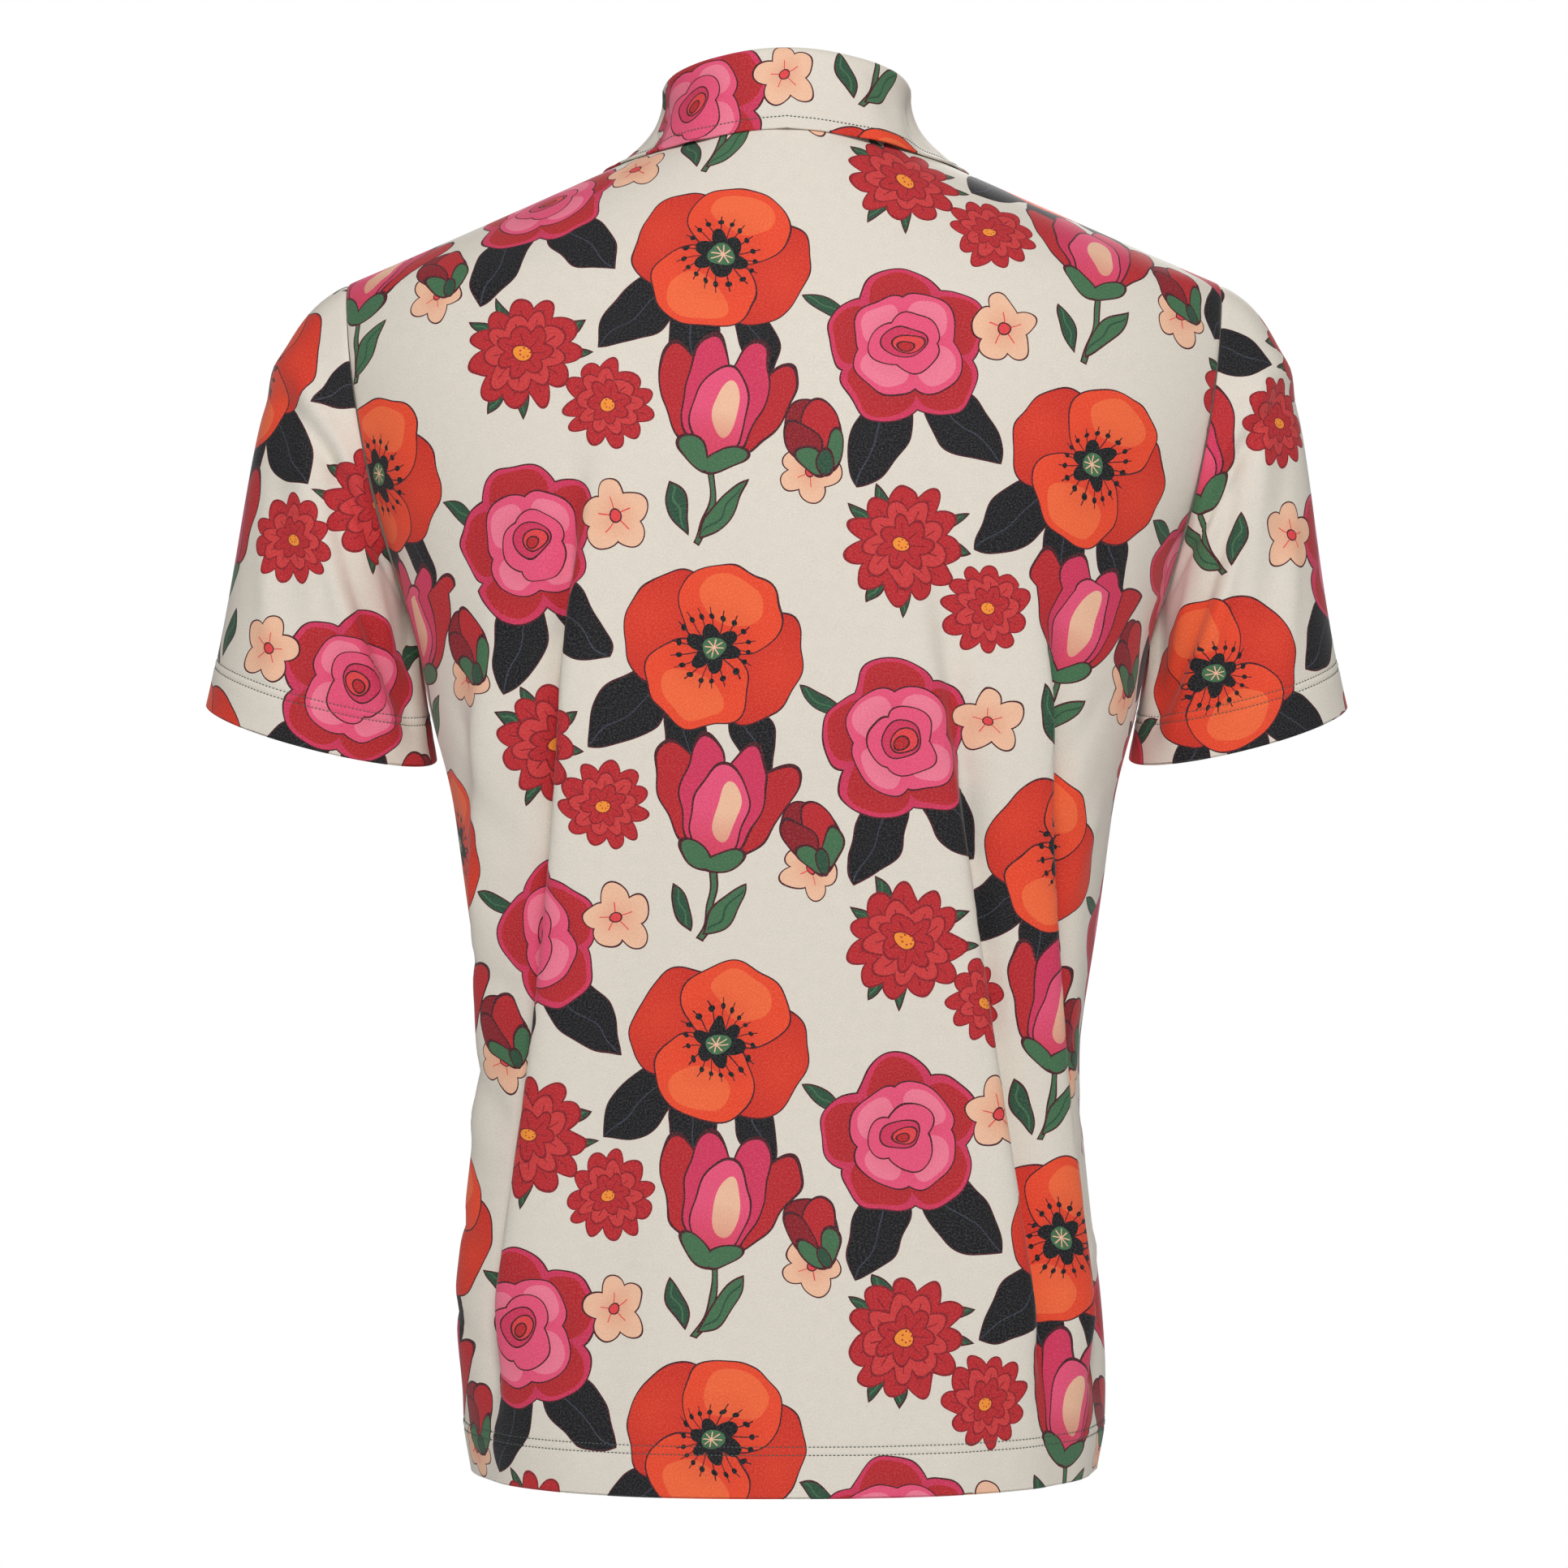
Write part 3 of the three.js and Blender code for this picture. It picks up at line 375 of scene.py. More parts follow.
def edge_x(side, z):
    """Half width of a panel: the form's, less the armhole."""
    half = section_at(z)[0]
    u = 2 * (z - UNDERARM_Z) / ARMHOLE_RISE - 1
    middle = (UNDERARM_X + SHOULDER_TIP.x) / 2
    cut = middle + (SHOULDER_TIP.x - UNDERARM_X) / 2 * u + ARMHOLE_BOW[side] * (1 - u * u)
    in_armhole = (z > UNDERARM_Z) & (z < SHOULDER_TIP.z)
    return np.where(in_armhole, np.minimum(half, cut), half)


def top_at(side, x):
    """Height of a panel's top edge: neckline, then shoulder seam."""
    across = clamp01(1 - (x / NECK_X) ** 2)
    neck = BACK_NECK_Z * across if side == "back" else FRONT_NECK_Z * across**FRONT_NECK_POWER
    return np.where(x >= NECK_X, -(x - NECK_X) / SHOULDER_RUN, neck)


def fold_line(fold):
    """A fold's distance round from the centre line, by height."""
    rows = table("z u", (HEM_Z, fold.hem), (WAIST_Z, fold.waist), (fold.start, fold.top))
    return spline(rows, "z", "u")


def fold_shape(side, u, z):
    """How far the long folds push the cloth out, and sideways."""
    rise, lean = np.zeros_like(u), np.zeros_like(u)
    for fold in FOLDS:
        if fold.side == side:
            grown = smooth((fold.start - z) / (fold.start - fold.full))
            off = (u - fold_line(fold)(z)) / fold.width
            rise += fold.rise * grown * bump(off)
            lean += fold.lean * grown * bump(off / LEAN_WIDTH)
    calm = mix(1, FOLD_HEM.left, smooth((FOLD_HEM.top - z) / (FOLD_HEM.top - HEM_Z - HEM_DEPTH)))
    return rise * calm, lean * calm


def crease_rise(side, u, z):
    """How far the smaller creases and the cloth's own slow unevenness push it out."""
    rise = np.zeros_like(u)
    for c in CREASES:
        if c.side == side:
            along = np.array([c.u1 - c.u0, c.z1 - c.z0], float)
            size = np.hypot(*along)
            t = ((u - c.u0) * along[0] + (z - c.z0) * along[1]) / size**2
            off = ((u - c.u0) * along[1] - (z - c.z0) * along[0]) / size
            fade = smooth(t / CREASE_ENDS + 0.5) * smooth((1 - t) / CREASE_ENDS + 0.5)
            rise += c.rise * bump(off / c.width) * fade
    for d in DRIFT:
        rise += d.rise * np.sin(u / d.along + d.turn + DRIFT_SHIFT[side]) * np.sin(z / d.up + d.turn)
    return rise


def side_wave(z):
    """How far a side seam swings out and in on its way down."""
    grown = smooth((UNDERARM_Z - SIDE_WAVE.below - z) / SIDE_WAVE.over)
    return SIDE_WAVE.swing * np.sin(z / SIDE_WAVE.length) * grown


def seam_dip(distance):
    """A seam draws the cloth's face in a little beside it."""
    return SEAM_DIP.rise * bump(distance / SEAM_DIP.width)


def hem_relief(above, around):
    """The turned-up hem stands a little proud, two stitch rows pull it in, and it puckers between them."""
    band = HEM_BAND.rise * (1 - smooth((above - HEM_DEPTH) / HEM_BAND.ease))
    rows = sum(HEM_GROOVE.rise * bump((above - row) / HEM_GROOVE.width) for row in HEM_STITCHES)
    ripple = np.sin(around / HEM_PUCKER.every + HEM_PUCKER.drift * np.sin(around / HEM_PUCKER.slow))
    return band + rows + HEM_PUCKER.rise * ripple * bump((above - HEM_PUCKER.middle) / HEM_PUCKER.reach)


def fine_line(side, z, share):
    """A row's fine line on the plain surface from the centre line to the panel's edge."""
    width = edge_x(side, np.float64(z if share is None else mix(UNDERARM_Z, SHOULDER_TIP.z, share)))
    neck = NECK_X / SHOULDER_TIP.x
    near = np.linspace(0, neck, NECK_STEPS, endpoint=False)
    past = np.linspace(0, 1, LINE_STEPS - NECK_STEPS + 1)
    across = np.concatenate([near, mix(neck, 1, np.sin(past * math.pi / 2))])
    x = across * width
    z = np.full_like(x, z) if share is None else mix(UNDERARM_Z, top_at(side, across * SHOULDER_TIP.x), share)
    return np.stack([x, depth_at(side, x, z), z], axis=1)


def half_row(side, z, share):
    """Points of a row from the centre line to the edge, with each one's distance round, its distance from the
    edge and its share of the way."""
    line = fine_line(side, z, share)
    along = lengths(line)
    total = along[-1]
    slot = np.interp(PLACKET.slot / 2, line[:, 0], along)
    neck = NECK_COLUMN / HALF_COLUMNS
    if share is not None:
        neck = mix(neck, (along[NECK_STEPS] - slot) / (total - slot), share**2)
        neck += NECK_EASE.rise * share**2 * (1 - share) ** NECK_EASE.power
    at_seam = 1 - np.array(SEAM_STEPS) / (total - slot)
    inner = np.linspace(0, neck, NECK_COLUMN, endpoint=False)
    middle = np.linspace(neck, at_seam[0], HALF_COLUMNS - NECK_COLUMN, endpoint=False)
    beyond = slot + (total - slot) * np.concatenate([inner, middle, at_seam])
    want = np.concatenate([np.linspace(0, slot, SLOT_COLUMNS, endpoint=False), beyond])
    return read_line(line, along, want), want, total - want, want / total


def panel_rows():
    """A panel's rows: heights below the underarm, then shares of the way to the top edge."""
    rows = [(HEM_Z + above, None) for above in HEM_ROWS]
    first = HEM_Z + HEM_ROWS[-1]
    count = round((UNDERARM_Z - first) / ROW_STEP)
    rows += [(mix(first, UNDERARM_Z, i / count), None) for i in range(1, count)]
    middling_height = FRONT_NECK_Z / 2 - UNDERARM_Z
    at_seam = [1 - step / middling_height for step in SEAM_STEPS]
    rows += [(UNDERARM_Z, at_seam[0] * i / UPPER_ROWS) for i in range(UPPER_ROWS)]
    return rows + [(UNDERARM_Z, share) for share in at_seam]


def crossed(one, two):
    """Twice the signed area between flat vectors."""
    return one[..., 0] * two[..., 1] - one[..., 1] * two[..., 0]


def flat_triangles(points, corners, laid):
    """Each triangle laid flat on its own, turned over where the first guess at its places has it so."""
    p = points[corners]
    along = unit(p[:, 1] - p[:, 0])
    aside = np.cross(unit(np.cross(p[:, 1] - p[:, 0], p[:, 2] - p[:, 0])), along)
    flat = np.stack([((p - p[:, :1]) * way[:, None]).sum(2) for way in (along, aside)], 2)
    first, second, third = laid[corners[0]]
    flat[..., 1] *= np.sign(crossed(second - first, third - first))
    return flat


def flatten(grid, steps, first_guess):
    """Lays a grid of cloth flat with the least stretch: each triangle keeps its own shape as nearly as its
    neighbours let it. It works on every so manieth row and column, and spreads the result over the rest."""
    rows, columns = some(len(grid), steps[0]), some(grid.shape[1], steps[1])
    coarse = grid[np.ix_(rows, columns)]
    shape = coarse.shape[:2]
    at = np.arange(shape[0] * shape[1]).reshape(shape)
    a, b, c, d = at[:-1, :-1].ravel(), at[:-1, 1:].ravel(), at[1:, 1:].ravel(), at[1:, :-1].ravel()
    corners = np.concatenate([np.stack([a, b, c], 1), np.stack([a, c, d], 1)])
    laid = first_guess[np.ix_(rows, columns)].reshape(-1, 2).astype(float)
    flat = flat_triangles(coarse.reshape(-1, 3), corners, laid)
    starts, ends, sides, weights = [], [], [], []
    for k in range(3):
        after, far = (k + 1) % 3, (k + 2) % 3
        one, two = flat[:, k] - flat[:, far], flat[:, after] - flat[:, far]
        starts.append(corners[:, k])
        ends.append(corners[:, after])
        sides.append(flat[:, k] - flat[:, after])
        weights.append(np.clip((one * two).sum(1) / np.abs(crossed(one, two)), *TIE_LIMITS))
    starts, ends, sides, weights = map(np.array, (starts, ends, sides, weights))
    ties = np.zeros((at.size, at.size))
    for i, j, sign in ((starts, starts, 1), (ends, ends, 1), (starts, ends, -1), (ends, starts, -1)):
        np.add.at(ties, (i, j), sign * weights)
    ties[0, 0] += 1
    solve = np.linalg.inv(ties)
    for _ in range(FLATTEN_ROUNDS):
        now = laid[starts] - laid[ends]
        spin = (weights[..., None, None] * now[..., :, None] * sides[..., None, :]).sum(0)
        angle = np.arctan2(spin[:, 1, 0] - spin[:, 0, 1], spin[:, 0, 0] + spin[:, 1, 1])
        cos, sin = np.cos(angle), np.sin(angle)
        x, y = sides[..., 0], sides[..., 1]
        turned = weights[..., None] * np.stack([cos * x - sin * y, sin * x + cos * y], 2)
        pull = np.zeros_like(laid)
        np.add.at(pull, starts, turned)
        np.add.at(pull, ends, -turned)
        pull[0] += laid[0]
        laid = solve @ pull
    return spread(grid, laid.reshape(*shape, 2), rows, columns)


def spread(grid, laid, rows, columns):
    """Places for every point of a grid from those of some rows and columns."""
    wide = []
    for i, row in enumerate(rows):
        along = lengths(grid[row])
        wide.append(np.stack([smooth_through(along[columns], laid[i, :, k], along) for k in (0, 1)], 1))
    wide = np.array(wide)
    tall = []
    for c in range(grid.shape[1]):
        along = lengths(grid[:, c])
        tall.append(np.stack([smooth_through(along[rows], wide[:, c, k], along) for k in (0, 1)], 1))
    return np.stack(tall, axis=1)


def upright(places, low, high, centre):
    """Turns flat places so that one point stands straight above another, and moves a third to the centre."""
    line = places[high] - places[low]
    angle = math.atan2(line[0], line[1])
    cos, sin = math.cos(angle), math.sin(angle)
    turned = places @ np.array([[cos, sin], [-sin, cos]])
    return turned - turned[centre]


def some(count, step):
    """Every so manieth of a count, with the last."""
    return np.unique(np.concatenate([np.arange(0, count - 1, step), [count - 1]]))


ROW_FLIPS = ((-1, 1, 1), -1, 1, 1)  # for each thing that half_row gives


def both_sides(half, flip):
    """A half row's values from the wearer's right edge to the left one, flipped on the right."""
    return np.concatenate([half[:0:-1] * flip, half])


def panel_grid(side):
    """A front or back panel: its outer points from the wearer's right to the left, hem row first, and their
    places on the flat cloth."""
    rows = panel_rows()
    halves = zip(*(half_row(side, z, share) for z, share in rows))
    wide = [np.array([both_sides(row, flip) for row in half]) for half, flip in zip(halves, ROW_FLIPS)]
    plain, u, edge, of_half = wide
    share = np.array([share or 0 for _, share in rows])[:, None]
    z = plain[..., 2]
    inside = 1 - smooth((of_half - FOLD_CALM) / (1 - FOLD_CALM))
    below = 1 - smooth(share / FOLD_TOP)
    folds, lean = fold_shape(side, u, z)
    rise = (folds * below + crease_rise(side, u, z)) * inside
    rise += seam_dip(edge) + hem_relief(z - HEM_Z, u)
    swing = side_wave(z) * smooth((of_half - SIDE_WAVE.start) / (1 - SIDE_WAVE.start))
    aside = unit(np.gradient(plain, axis=1)) * (lean * below * inside)[..., None]
    grid = plain + grid_normals(plain, FACING[side]) * rise[..., None] + aside
    grid[..., 0] += np.sign(plain[..., 0]) * swing
    middle = grid.shape[1] // 2
    places = flatten(grid, FLATTEN_STEPS["panel"], np.stack([u, z], axis=-1))
    return grid, upright(places, (0, middle), (HIGH_ROW, middle), (0, middle))


# ---- the sleeves ----
SLEEVE_COLUMNS = 88
SLEEVE_ROWS = 42  # between those beside the armhole and the hem's
SLEEVE_STEPS = 120
SLEEVE_HEM_ROWS = (35, 31, 28.6, 27.3, 26.6, 25.9, 24.5, 23.1, 22.4, 21.7, 20.6, 17, 12, 7, 3, 1.4, 0.6, 0)


def armhole_point(turn):
    """The armhole's edge, a turn round it from the underarm up the back and down the front."""
    share = (1 - math.cos(2 * math.pi * turn)) / 2
    side = "back" if turn <= 0.5 else "front"
    z = np.float64(mix(UNDERARM_Z, SHOULDER_TIP.z, share))
    x = edge_x(side, z)
    return np.array([x, depth_at(side, x, z), z]), share


def sleeve_line(turn, hem_centre, half):
    """One line down the sleeve: a curve from the armhole to the hem."""
    seam, height = armhole_point(turn % 1)
    if height < FOLDED_BACK:
        seam[0] += SEAM_GAP
    angle = 2 * math.pi * turn
    arm = np.array(ARM)
    across = unit(np.array([1, 0, 0]) - arm * arm[0])
    back = unit(np.array([0, 1, 0]) - arm * arm[1])
    hem = hem_centre - across * half * math.cos(angle) + back * SLEEVE_HEM.deep * math.sin(angle)
    reach = np.linalg.norm(hem - seam)
    side = SLEEVE_CURVE.side * math.sin(angle)
    out = SLEEVE_CURVE.out * height**SLEEVE_CURVE.out_power
    leave = np.array([out, side, -math.sqrt(1 - out * out - side * side)])
    arrive = unit(mix(unit(hem - seam), arm, smooth(height / SLEEVE_CURVE.straight)))
    a, b = seam + leave * reach * SLEEVE_CURVE.leave, hem - arrive * reach * SLEEVE_CURVE.arrive
    t = np.linspace(0, 1, SLEEVE_STEPS + 1)[:, None]
    return (1 - t) ** 3 * seam + 3 * (1 - t) ** 2 * t * a + 3 * (1 - t) * t * t * b + t**3 * hem


def sleeve_crease(turn, down):
    """How far the sleeve's creases push it out, by the turn round it and the share of the way down."""
    rise = np.zeros_like(down)
    for c in SLEEVE_CREASES:
        off = turn - mix(c.start, c.end, down)
        off = off - np.round(off)
        rise += c.rise * bump(off / c.width) * bump((down - c.peak) / c.reach)
    return rise * smooth(down / SLEEVE_CALM.top) * smooth((1 - down) / SLEEVE_CALM.hem)


def sleeve_grid(size):
    """A sleeve's outer points, armhole row first, with their places on the flat cloth. It is made on the left
    and turned over for the right."""
    centre = np.array([size.x, SLEEVE_HEM.y, SLEEVE_HEM.z], float)
    turns = np.arange(SLEEVE_COLUMNS + 1) / SLEEVE_COLUMNS
    columns, places = [], []
    for turn in turns:
        line = sleeve_line(turn, centre, size.across)
        along = lengths(line)
        total = along[-1]
        middle = np.linspace(SEAM_STEPS[0], total - SLEEVE_HEM_ROWS[0], SLEEVE_ROWS + 2)[1:-1]
        want = np.concatenate([SEAM_STEPS[::-1], middle, total - np.array(SLEEVE_HEM_ROWS)])
        columns.append(read_line(line, along, want))
        places.append(np.stack([want, want / total, total - want], axis=1))
    plain = np.stack(columns, axis=1)
    want, down, from_hem = np.moveaxis(np.stack(places, axis=1), 2, 0)
    around = running(plain, 1)
    rise = sleeve_crease(turns[None, :], down) + seam_dip(want) + hem_relief(from_hem, around)
    grid = plain + grid_normals(plain, 1, wraps=True) * rise[..., None]
    middle = SLEEVE_COLUMNS // 2
    guess = np.stack([around - around[:, middle][:, None], from_hem], axis=-1)
    places = flatten(grid, FLATTEN_STEPS["sleeve"], guess)
    hem = len(grid) - 1
    places = upright(places, (hem, middle), (0, middle), (hem, middle))
    grid[..., 0] *= size.sign
    places[..., 0] *= -size.sign
    return grid, places


# ---- the collar ----
for row in COLLAR:
    if row.y is None:
        row.y = depth_at("front", row.x, np.float64(row.z)) - EDGE_OFF
collar = {name: spline(COLLAR, "at", name) for name in ("height", "lean", "bow", "x", "y", "z")}
COLLAR_START = 0.75  # from the centre front
COLLAR_COLUMNS = {"front": 46, "back": 44}  # from centre front to neck point, and on to centre back
NECKLINE_STEPS = 200
FALL_ROWS = 34
FALL_EDGE_ROWS = (7, COLLAR_TOPSTITCH, 6, 3.5, 1.4, 0)
FALL_MAIN = 8  # the rows above stay this far from the edge
FALL_STITCH_ROW = 7  # below the roll
STAND_ROWS = 14
STAND_TUCK = table("inwards down", (1.9, 4.0), (1.7, 2.4), (1.1, 0.9))


def neckline():
    """Half the neckline from centre front to centre back: points and their places on the collar."""
    points, places = [], []
    for start, (side, ends) in enumerate((("front", (COLLAR_START, NECK_X)), ("back", (NECK_X, 0)))):
        x = np.linspace(*ends, NECKLINE_STEPS)
        z = top_at(side, x)
        neck_point = start - 1
        z[neck_point] = 0
        y = depth_at(side, x, z)
        y[neck_point] = 0
        line = np.stack([x, y, z], axis=1)
        along = lengths(line)
        t = np.linspace(0, 1, COLLAR_COLUMNS[side] + 1)[start:]
        points.append(read_line(line, along, t * along[-1]))
        places.append(start + t)
    return np.concatenate(points), np.concatenate(places)


def collar_posts():
    """From the right front edge round the back to the left one: the stand's foot and top, the level way out,
    the way up square to the top edge, the fall's edge and its bow."""
    points, at = neckline()
    right = points[:-1] * (-1, 1, 1)
    foot = np.concatenate([right, points[::-1]])
    at = np.concatenate([at[:-1], at[::-1]])
    sign = np.concatenate([-np.ones(len(right)), np.ones(len(points))])
    step = np.gradient(foot, axis=0)
    out = unit(np.stack([-step[:, 1], step[:, 0], np.zeros(len(step))], axis=1))
    shift = COLLAR_SHIFT * smooth(at)
    top = foot - out * collar["lean"](at)[:, None]
    top[:, 2] += collar["height"](at)
    for end in (0, -1):
        top[end, 0] = foot[end, 0]
    top[:, 0] += shift
    edge = np.stack([sign * collar["x"](at) + shift, collar["y"](at), collar["z"](at)], axis=1)
    up = unit(np.cross(np.gradient(top, axis=0), out))
    up *= np.sign(up[:, 2:])
    return SimpleNamespace(foot=foot, top=top, out=out, up=up, edge=edge, bow=collar["bow"](at), at=at)


def inside_body(p):
    """Which points lie under the plain surface of the front or the back."""
    half = section_at(p[:, 2])[0]
    within = (p[:, 1] < depth_at("back", p[:, 0], p[:, 2])) & (p[:, 1] > depth_at("front", p[:, 0], p[:, 2]))
    return (p[:, 2] <= BACK_NECK_Z) & (np.abs(p[:, 0]) < half) & within


def smoothed(values, times):
    """Values along the collar, evened out with their neighbours."""
    for _ in range(times):
        values = np.concatenate([values[:1], (values[:-2] + 2 * values[1:-1] + values[2:]) / 4, values[-1:]])
    return values


def fall_grid(posts):
    """The fall: up off the stand, over the roll and down to its edge, clear of the body."""
    rows = [posts.top + posts.out * roll.out + posts.up * roll.rise for roll in ROLL]
    shoulder = rows[-1]
    away = unit(posts.out + (0, 0, 1))
    for down in np.linspace(0, 1, FALL_SPANS + 1)[1:]:
        turn = mix(NECK_TURN.top, NECK_TURN.edge, down)
        dent = NECK_TURN.out * bump((posts.at - turn - NECK_TURN.behind) / NECK_TURN.width)
        dent += NECK_TURN.dip * bump((posts.at - turn + NECK_TURN.before) / NECK_TURN.width)
        bow = posts.bow * math.sin(math.pi * down) + dent * math.sin(math.pi * down**FALL_BOW)
        p = mix(shoulder, posts.edge, down) + posts.out * bow[:, None]
        lift = laid_on_body(p, away, FALL_DROP * down**2)
        rows.append(p + away * smoothed(lift, FALL_EVENED)[:, None])
    return resample_columns(np.stack(rows), FALL_ROWS)


def laid_on_body(p, away, drop):
    """How far each point is moved out to clear the body, or let down by at most a drop to lie on it."""
    lift = np.zeros(len(p))
    for _ in range(FALL_STEPS):
        stuck = inside_body(p + away * (lift - FALL_CLEAR)[:, None])
        if not stuck.any():
            break
        lift[stuck] += FALL_STEP
    for _ in range(FALL_STEPS):
        lower = p + away * (lift - FALL_STEP - FALL_CLEAR)[:, None]
        free = ~inside_body(lower) & (lift > -drop)
        if not free.any():
            break
        lift[free] -= FALL_STEP
    return lift


def resample_columns(control, count):
    """A smooth curve down each column of a grid, with points spaced along it and closer at its edge."""
    columns = []
    for c in range(control.shape[1]):
        along = lengths(control[:, c])
        total = along[-1]
        main = np.linspace(0, total - FALL_MAIN, count - len(FALL_EDGE_ROWS))
        want = np.concatenate([main, total - np.array(FALL_EDGE_ROWS)])
        columns.append(np.stack([smooth_through(along, control[:, c, i], want) for i in range(3)], axis=1))
    return np.stack(columns, axis=1)


def stand_grid(posts):
    """The stand, with its lower edge tucked in behind the neckline."""
    rows = [posts.foot - posts.out * tuck.inwards - (0, 0, tuck.down) for tuck in STAND_TUCK]
    for up in np.linspace(0, 1, STAND_ROWS):
        bulge = STAND_BULGE * math.sin(math.pi * up)
        rows.append(mix(posts.foot, posts.top, up) + posts.out * bulge)
    return np.stack(rows)


def measured_places(grid):
    """Places on flat cloth by distance along the rows from the middle column, and down the columns."""
    around = running(grid, 1)
    around -= around[:, grid.shape[1] // 2][:, None]
    return np.stack([around, -running(grid, 0)], axis=-1)


# ---- the placket ----
PLACKET_EDGES = np.array((0, 0.6, 1.6))
PLACKET_MIDDLE = 3  # the columns between stay this far from the edges
PLACKET_POINTS = (60, 15)  # rows, and columns from one inset to the other
PLACKET_STITCHES = SimpleNamespace(columns=(3, -4), rows=(2, 12))


def placket_grid(off):
    """A strip along the centre front, off the front panel's plain surface."""
    lowest = FRONT_NECK_Z - PLACKET.length - PLACKET.overlap
    zs = np.linspace(lowest, FRONT_NECK_Z - PLACKET.top, PLACKET_POINTS[0])
    half = PLACKET.width / 2
    inner = np.linspace(PLACKET_MIDDLE - half, half - PLACKET_MIDDLE, PLACKET_POINTS[1])[1:-1]
    xs = np.concatenate([PLACKET_EDGES - half, inner, half - PLACKET_EDGES[::-1]])
    x, z = np.meshgrid(xs, zs)
    slope = (depth_at("front", x, z + 1) - depth_at("front", x, z - 1)) / 2
    lean = (depth_at("front", x + 1, z) - depth_at("front", x - 1, z)) / 2
    normal = unit(np.stack([lean, -np.ones_like(x), slope], axis=-1))
    return np.stack([x, depth_at("front", x, z), z], axis=-1) + normal * off


# ---- walls ----
RIM_TURNS = (0.25, 0.5, 0.75)
# For each side of a cell: where its neighbour is in the padded cells, and the side's two corners.
CELL_SIDES = table(
    "beyond first second",
    ((0, 1), (0, 0), (0, 1)),
    ((2, 1), (1, 1), (1, 0)),
    ((1, 0), (1, 0), (0, 0)),
    ((1, 2), (0, 1), (1, 1)),
)


def edge_pull(grid, padded):
    """Which points are used, and the way inwards along the cloth from each point on an edge."""
    beside = [padded[:-1, :-1], padded[:-1, 1:], padded[1:, :-1], padded[1:, 1:]]
    up, right = unit(np.gradient(grid, axis=0)), unit(np.gradient(grid, axis=1))
    pull = np.zeros_like(grid)
    for way, sign, a, b in ((up, 1, 0, 1), (up, -1, 2, 3), (right, 1, 0, 2), (right, -1, 1, 3)):
        pull += sign * way * (~beside[a] & ~beside[b])[..., None]
    on_edge = ~np.logical_and.reduce(beside)
    return np.logical_or.reduce(beside), unit(pull) * on_edge[..., None]


def wall_mesh(name, grid, places, facing, thick, wraps=False, keep=None, turned_up=None, inner_slot=1):
    """A closed shell from a grid of outer points: the same points moved in by the cloth's thickness, and a
    rounded rim round each edge. places are the points' places on the flat cloth, turned_up those of the inner
    face, and inner_slot is the inner face's material, for each row or for all."""
    rows, columns = grid.shape[:2]
    normals = grid_normals(grid, facing, wraps)
    thickness = np.broadcast_to(thick, (rows, columns))[..., None]
    cells = np.ones((rows - 1, columns - 1), bool) if keep is None else keep
    padded = np.pad(cells, 1)
    own = np.ones((rows, columns), bool)
    if wraps:
        padded[1:-1, 0], padded[1:-1, -1] = cells[:, -1], cells[:, 0]
        own[:, -1] = False
    used, inward = edge_pull(grid, padded)
    own &= used
    outer = grid + inward * thickness * 0.5
    inner = outer - normals * thickness
    count = int(own.sum())
    number = np.full((rows, columns), -1)
    number[own] = np.arange(count)
    if wraps:
        number[:, -1] = number[:, 0]
    turned_up = places if turned_up is None else turned_up
    inner_slots = np.broadcast_to(inner_slot, rows - 1)
    faces, corners, slots, rim_of, rims = [], [], [], {}, []

    def face(ring, uv, slot, outwards):
        faces.append(ring if outwards else ring[::-1])
        corners.append(uv if outwards else uv[::-1])
        slots.append(slot)

    def rim(i):
        key = number[i]
        if key not in rim_of:
            rim_of[key] = 2 * count + len(rims) * len(RIM_TURNS)
            middle = (outer[i] + inner[i]) / 2
            ways = [normals[i] * math.cos(math.pi * t) - inward[i] * math.sin(math.pi * t) for t in RIM_TURNS]
            rims.append([middle + way * (thickness[i][0] / 2) for way in ways])
        first = rim_of[key]
        return [key, *range(first, first + len(RIM_TURNS)), key + count]

    for r, c in zip(*np.nonzero(cells)):
        ring = [(r, c), (r, c + 1), (r + 1, c + 1), (r + 1, c)]
        face([number[i] for i in ring], [places[i] for i in ring], 0, facing > 0)
        face([number[i] + count for i in ring], [turned_up[i] for i in ring], int(inner_slots[r]), facing < 0)
    for r, c in zip(*np.nonzero(cells)):
        for side in CELL_SIDES:
            if not padded[r + side.beyond[0], c + side.beyond[1]]:
                a, b = ((r + down, c + along) for down, along in (side.first, side.second))
                one, two = rim(a), rim(b)
                for k in range(len(one) - 1):
                    ring = [one[k], one[k + 1], two[k + 1], two[k]]
                    face(ring, [places[a], places[a], places[b], places[b]], 0, facing > 0)
    vertices = np.concatenate([outer[own], inner[own], np.array(rims).reshape(-1, 3)])
    return finished_mesh(name, vertices * MM, faces, np.array(corners) * MM, slots)


def linked(name, mesh):
    """An object with that data, in the scene."""
    thing = bpy.data.objects.new(name, mesh)
    bpy.context.scene.collection.objects.link(thing)
    return thing


def finished_mesh(name, vertices, faces, corners, slots):
    """A smooth-shaded piece with its places on the flat cloth as its UV map."""
    mesh = bpy.data.meshes.new(name)
    mesh.from_pydata(vertices.tolist(), [], [[int(i) for i in face] for face in faces])
    layer = mesh.uv_layers.new(name="cloth")
    layer.uv.foreach_set("vector", corners.reshape(-1).astype(np.float32))
    mesh.polygons.foreach_set("material_index", slots)
    mesh.polygons.foreach_set("use_smooth", [True] * len(faces))
    mesh.validate()
    mesh.update()
    return linked(name, mesh)


def wear(thing, node, slot, *materials):
    """Hands a finished piece to the frame."""
    for finish in materials:
        thing.data.materials.append(finish)
    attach(thing, "root")
    if node:
        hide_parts(node)


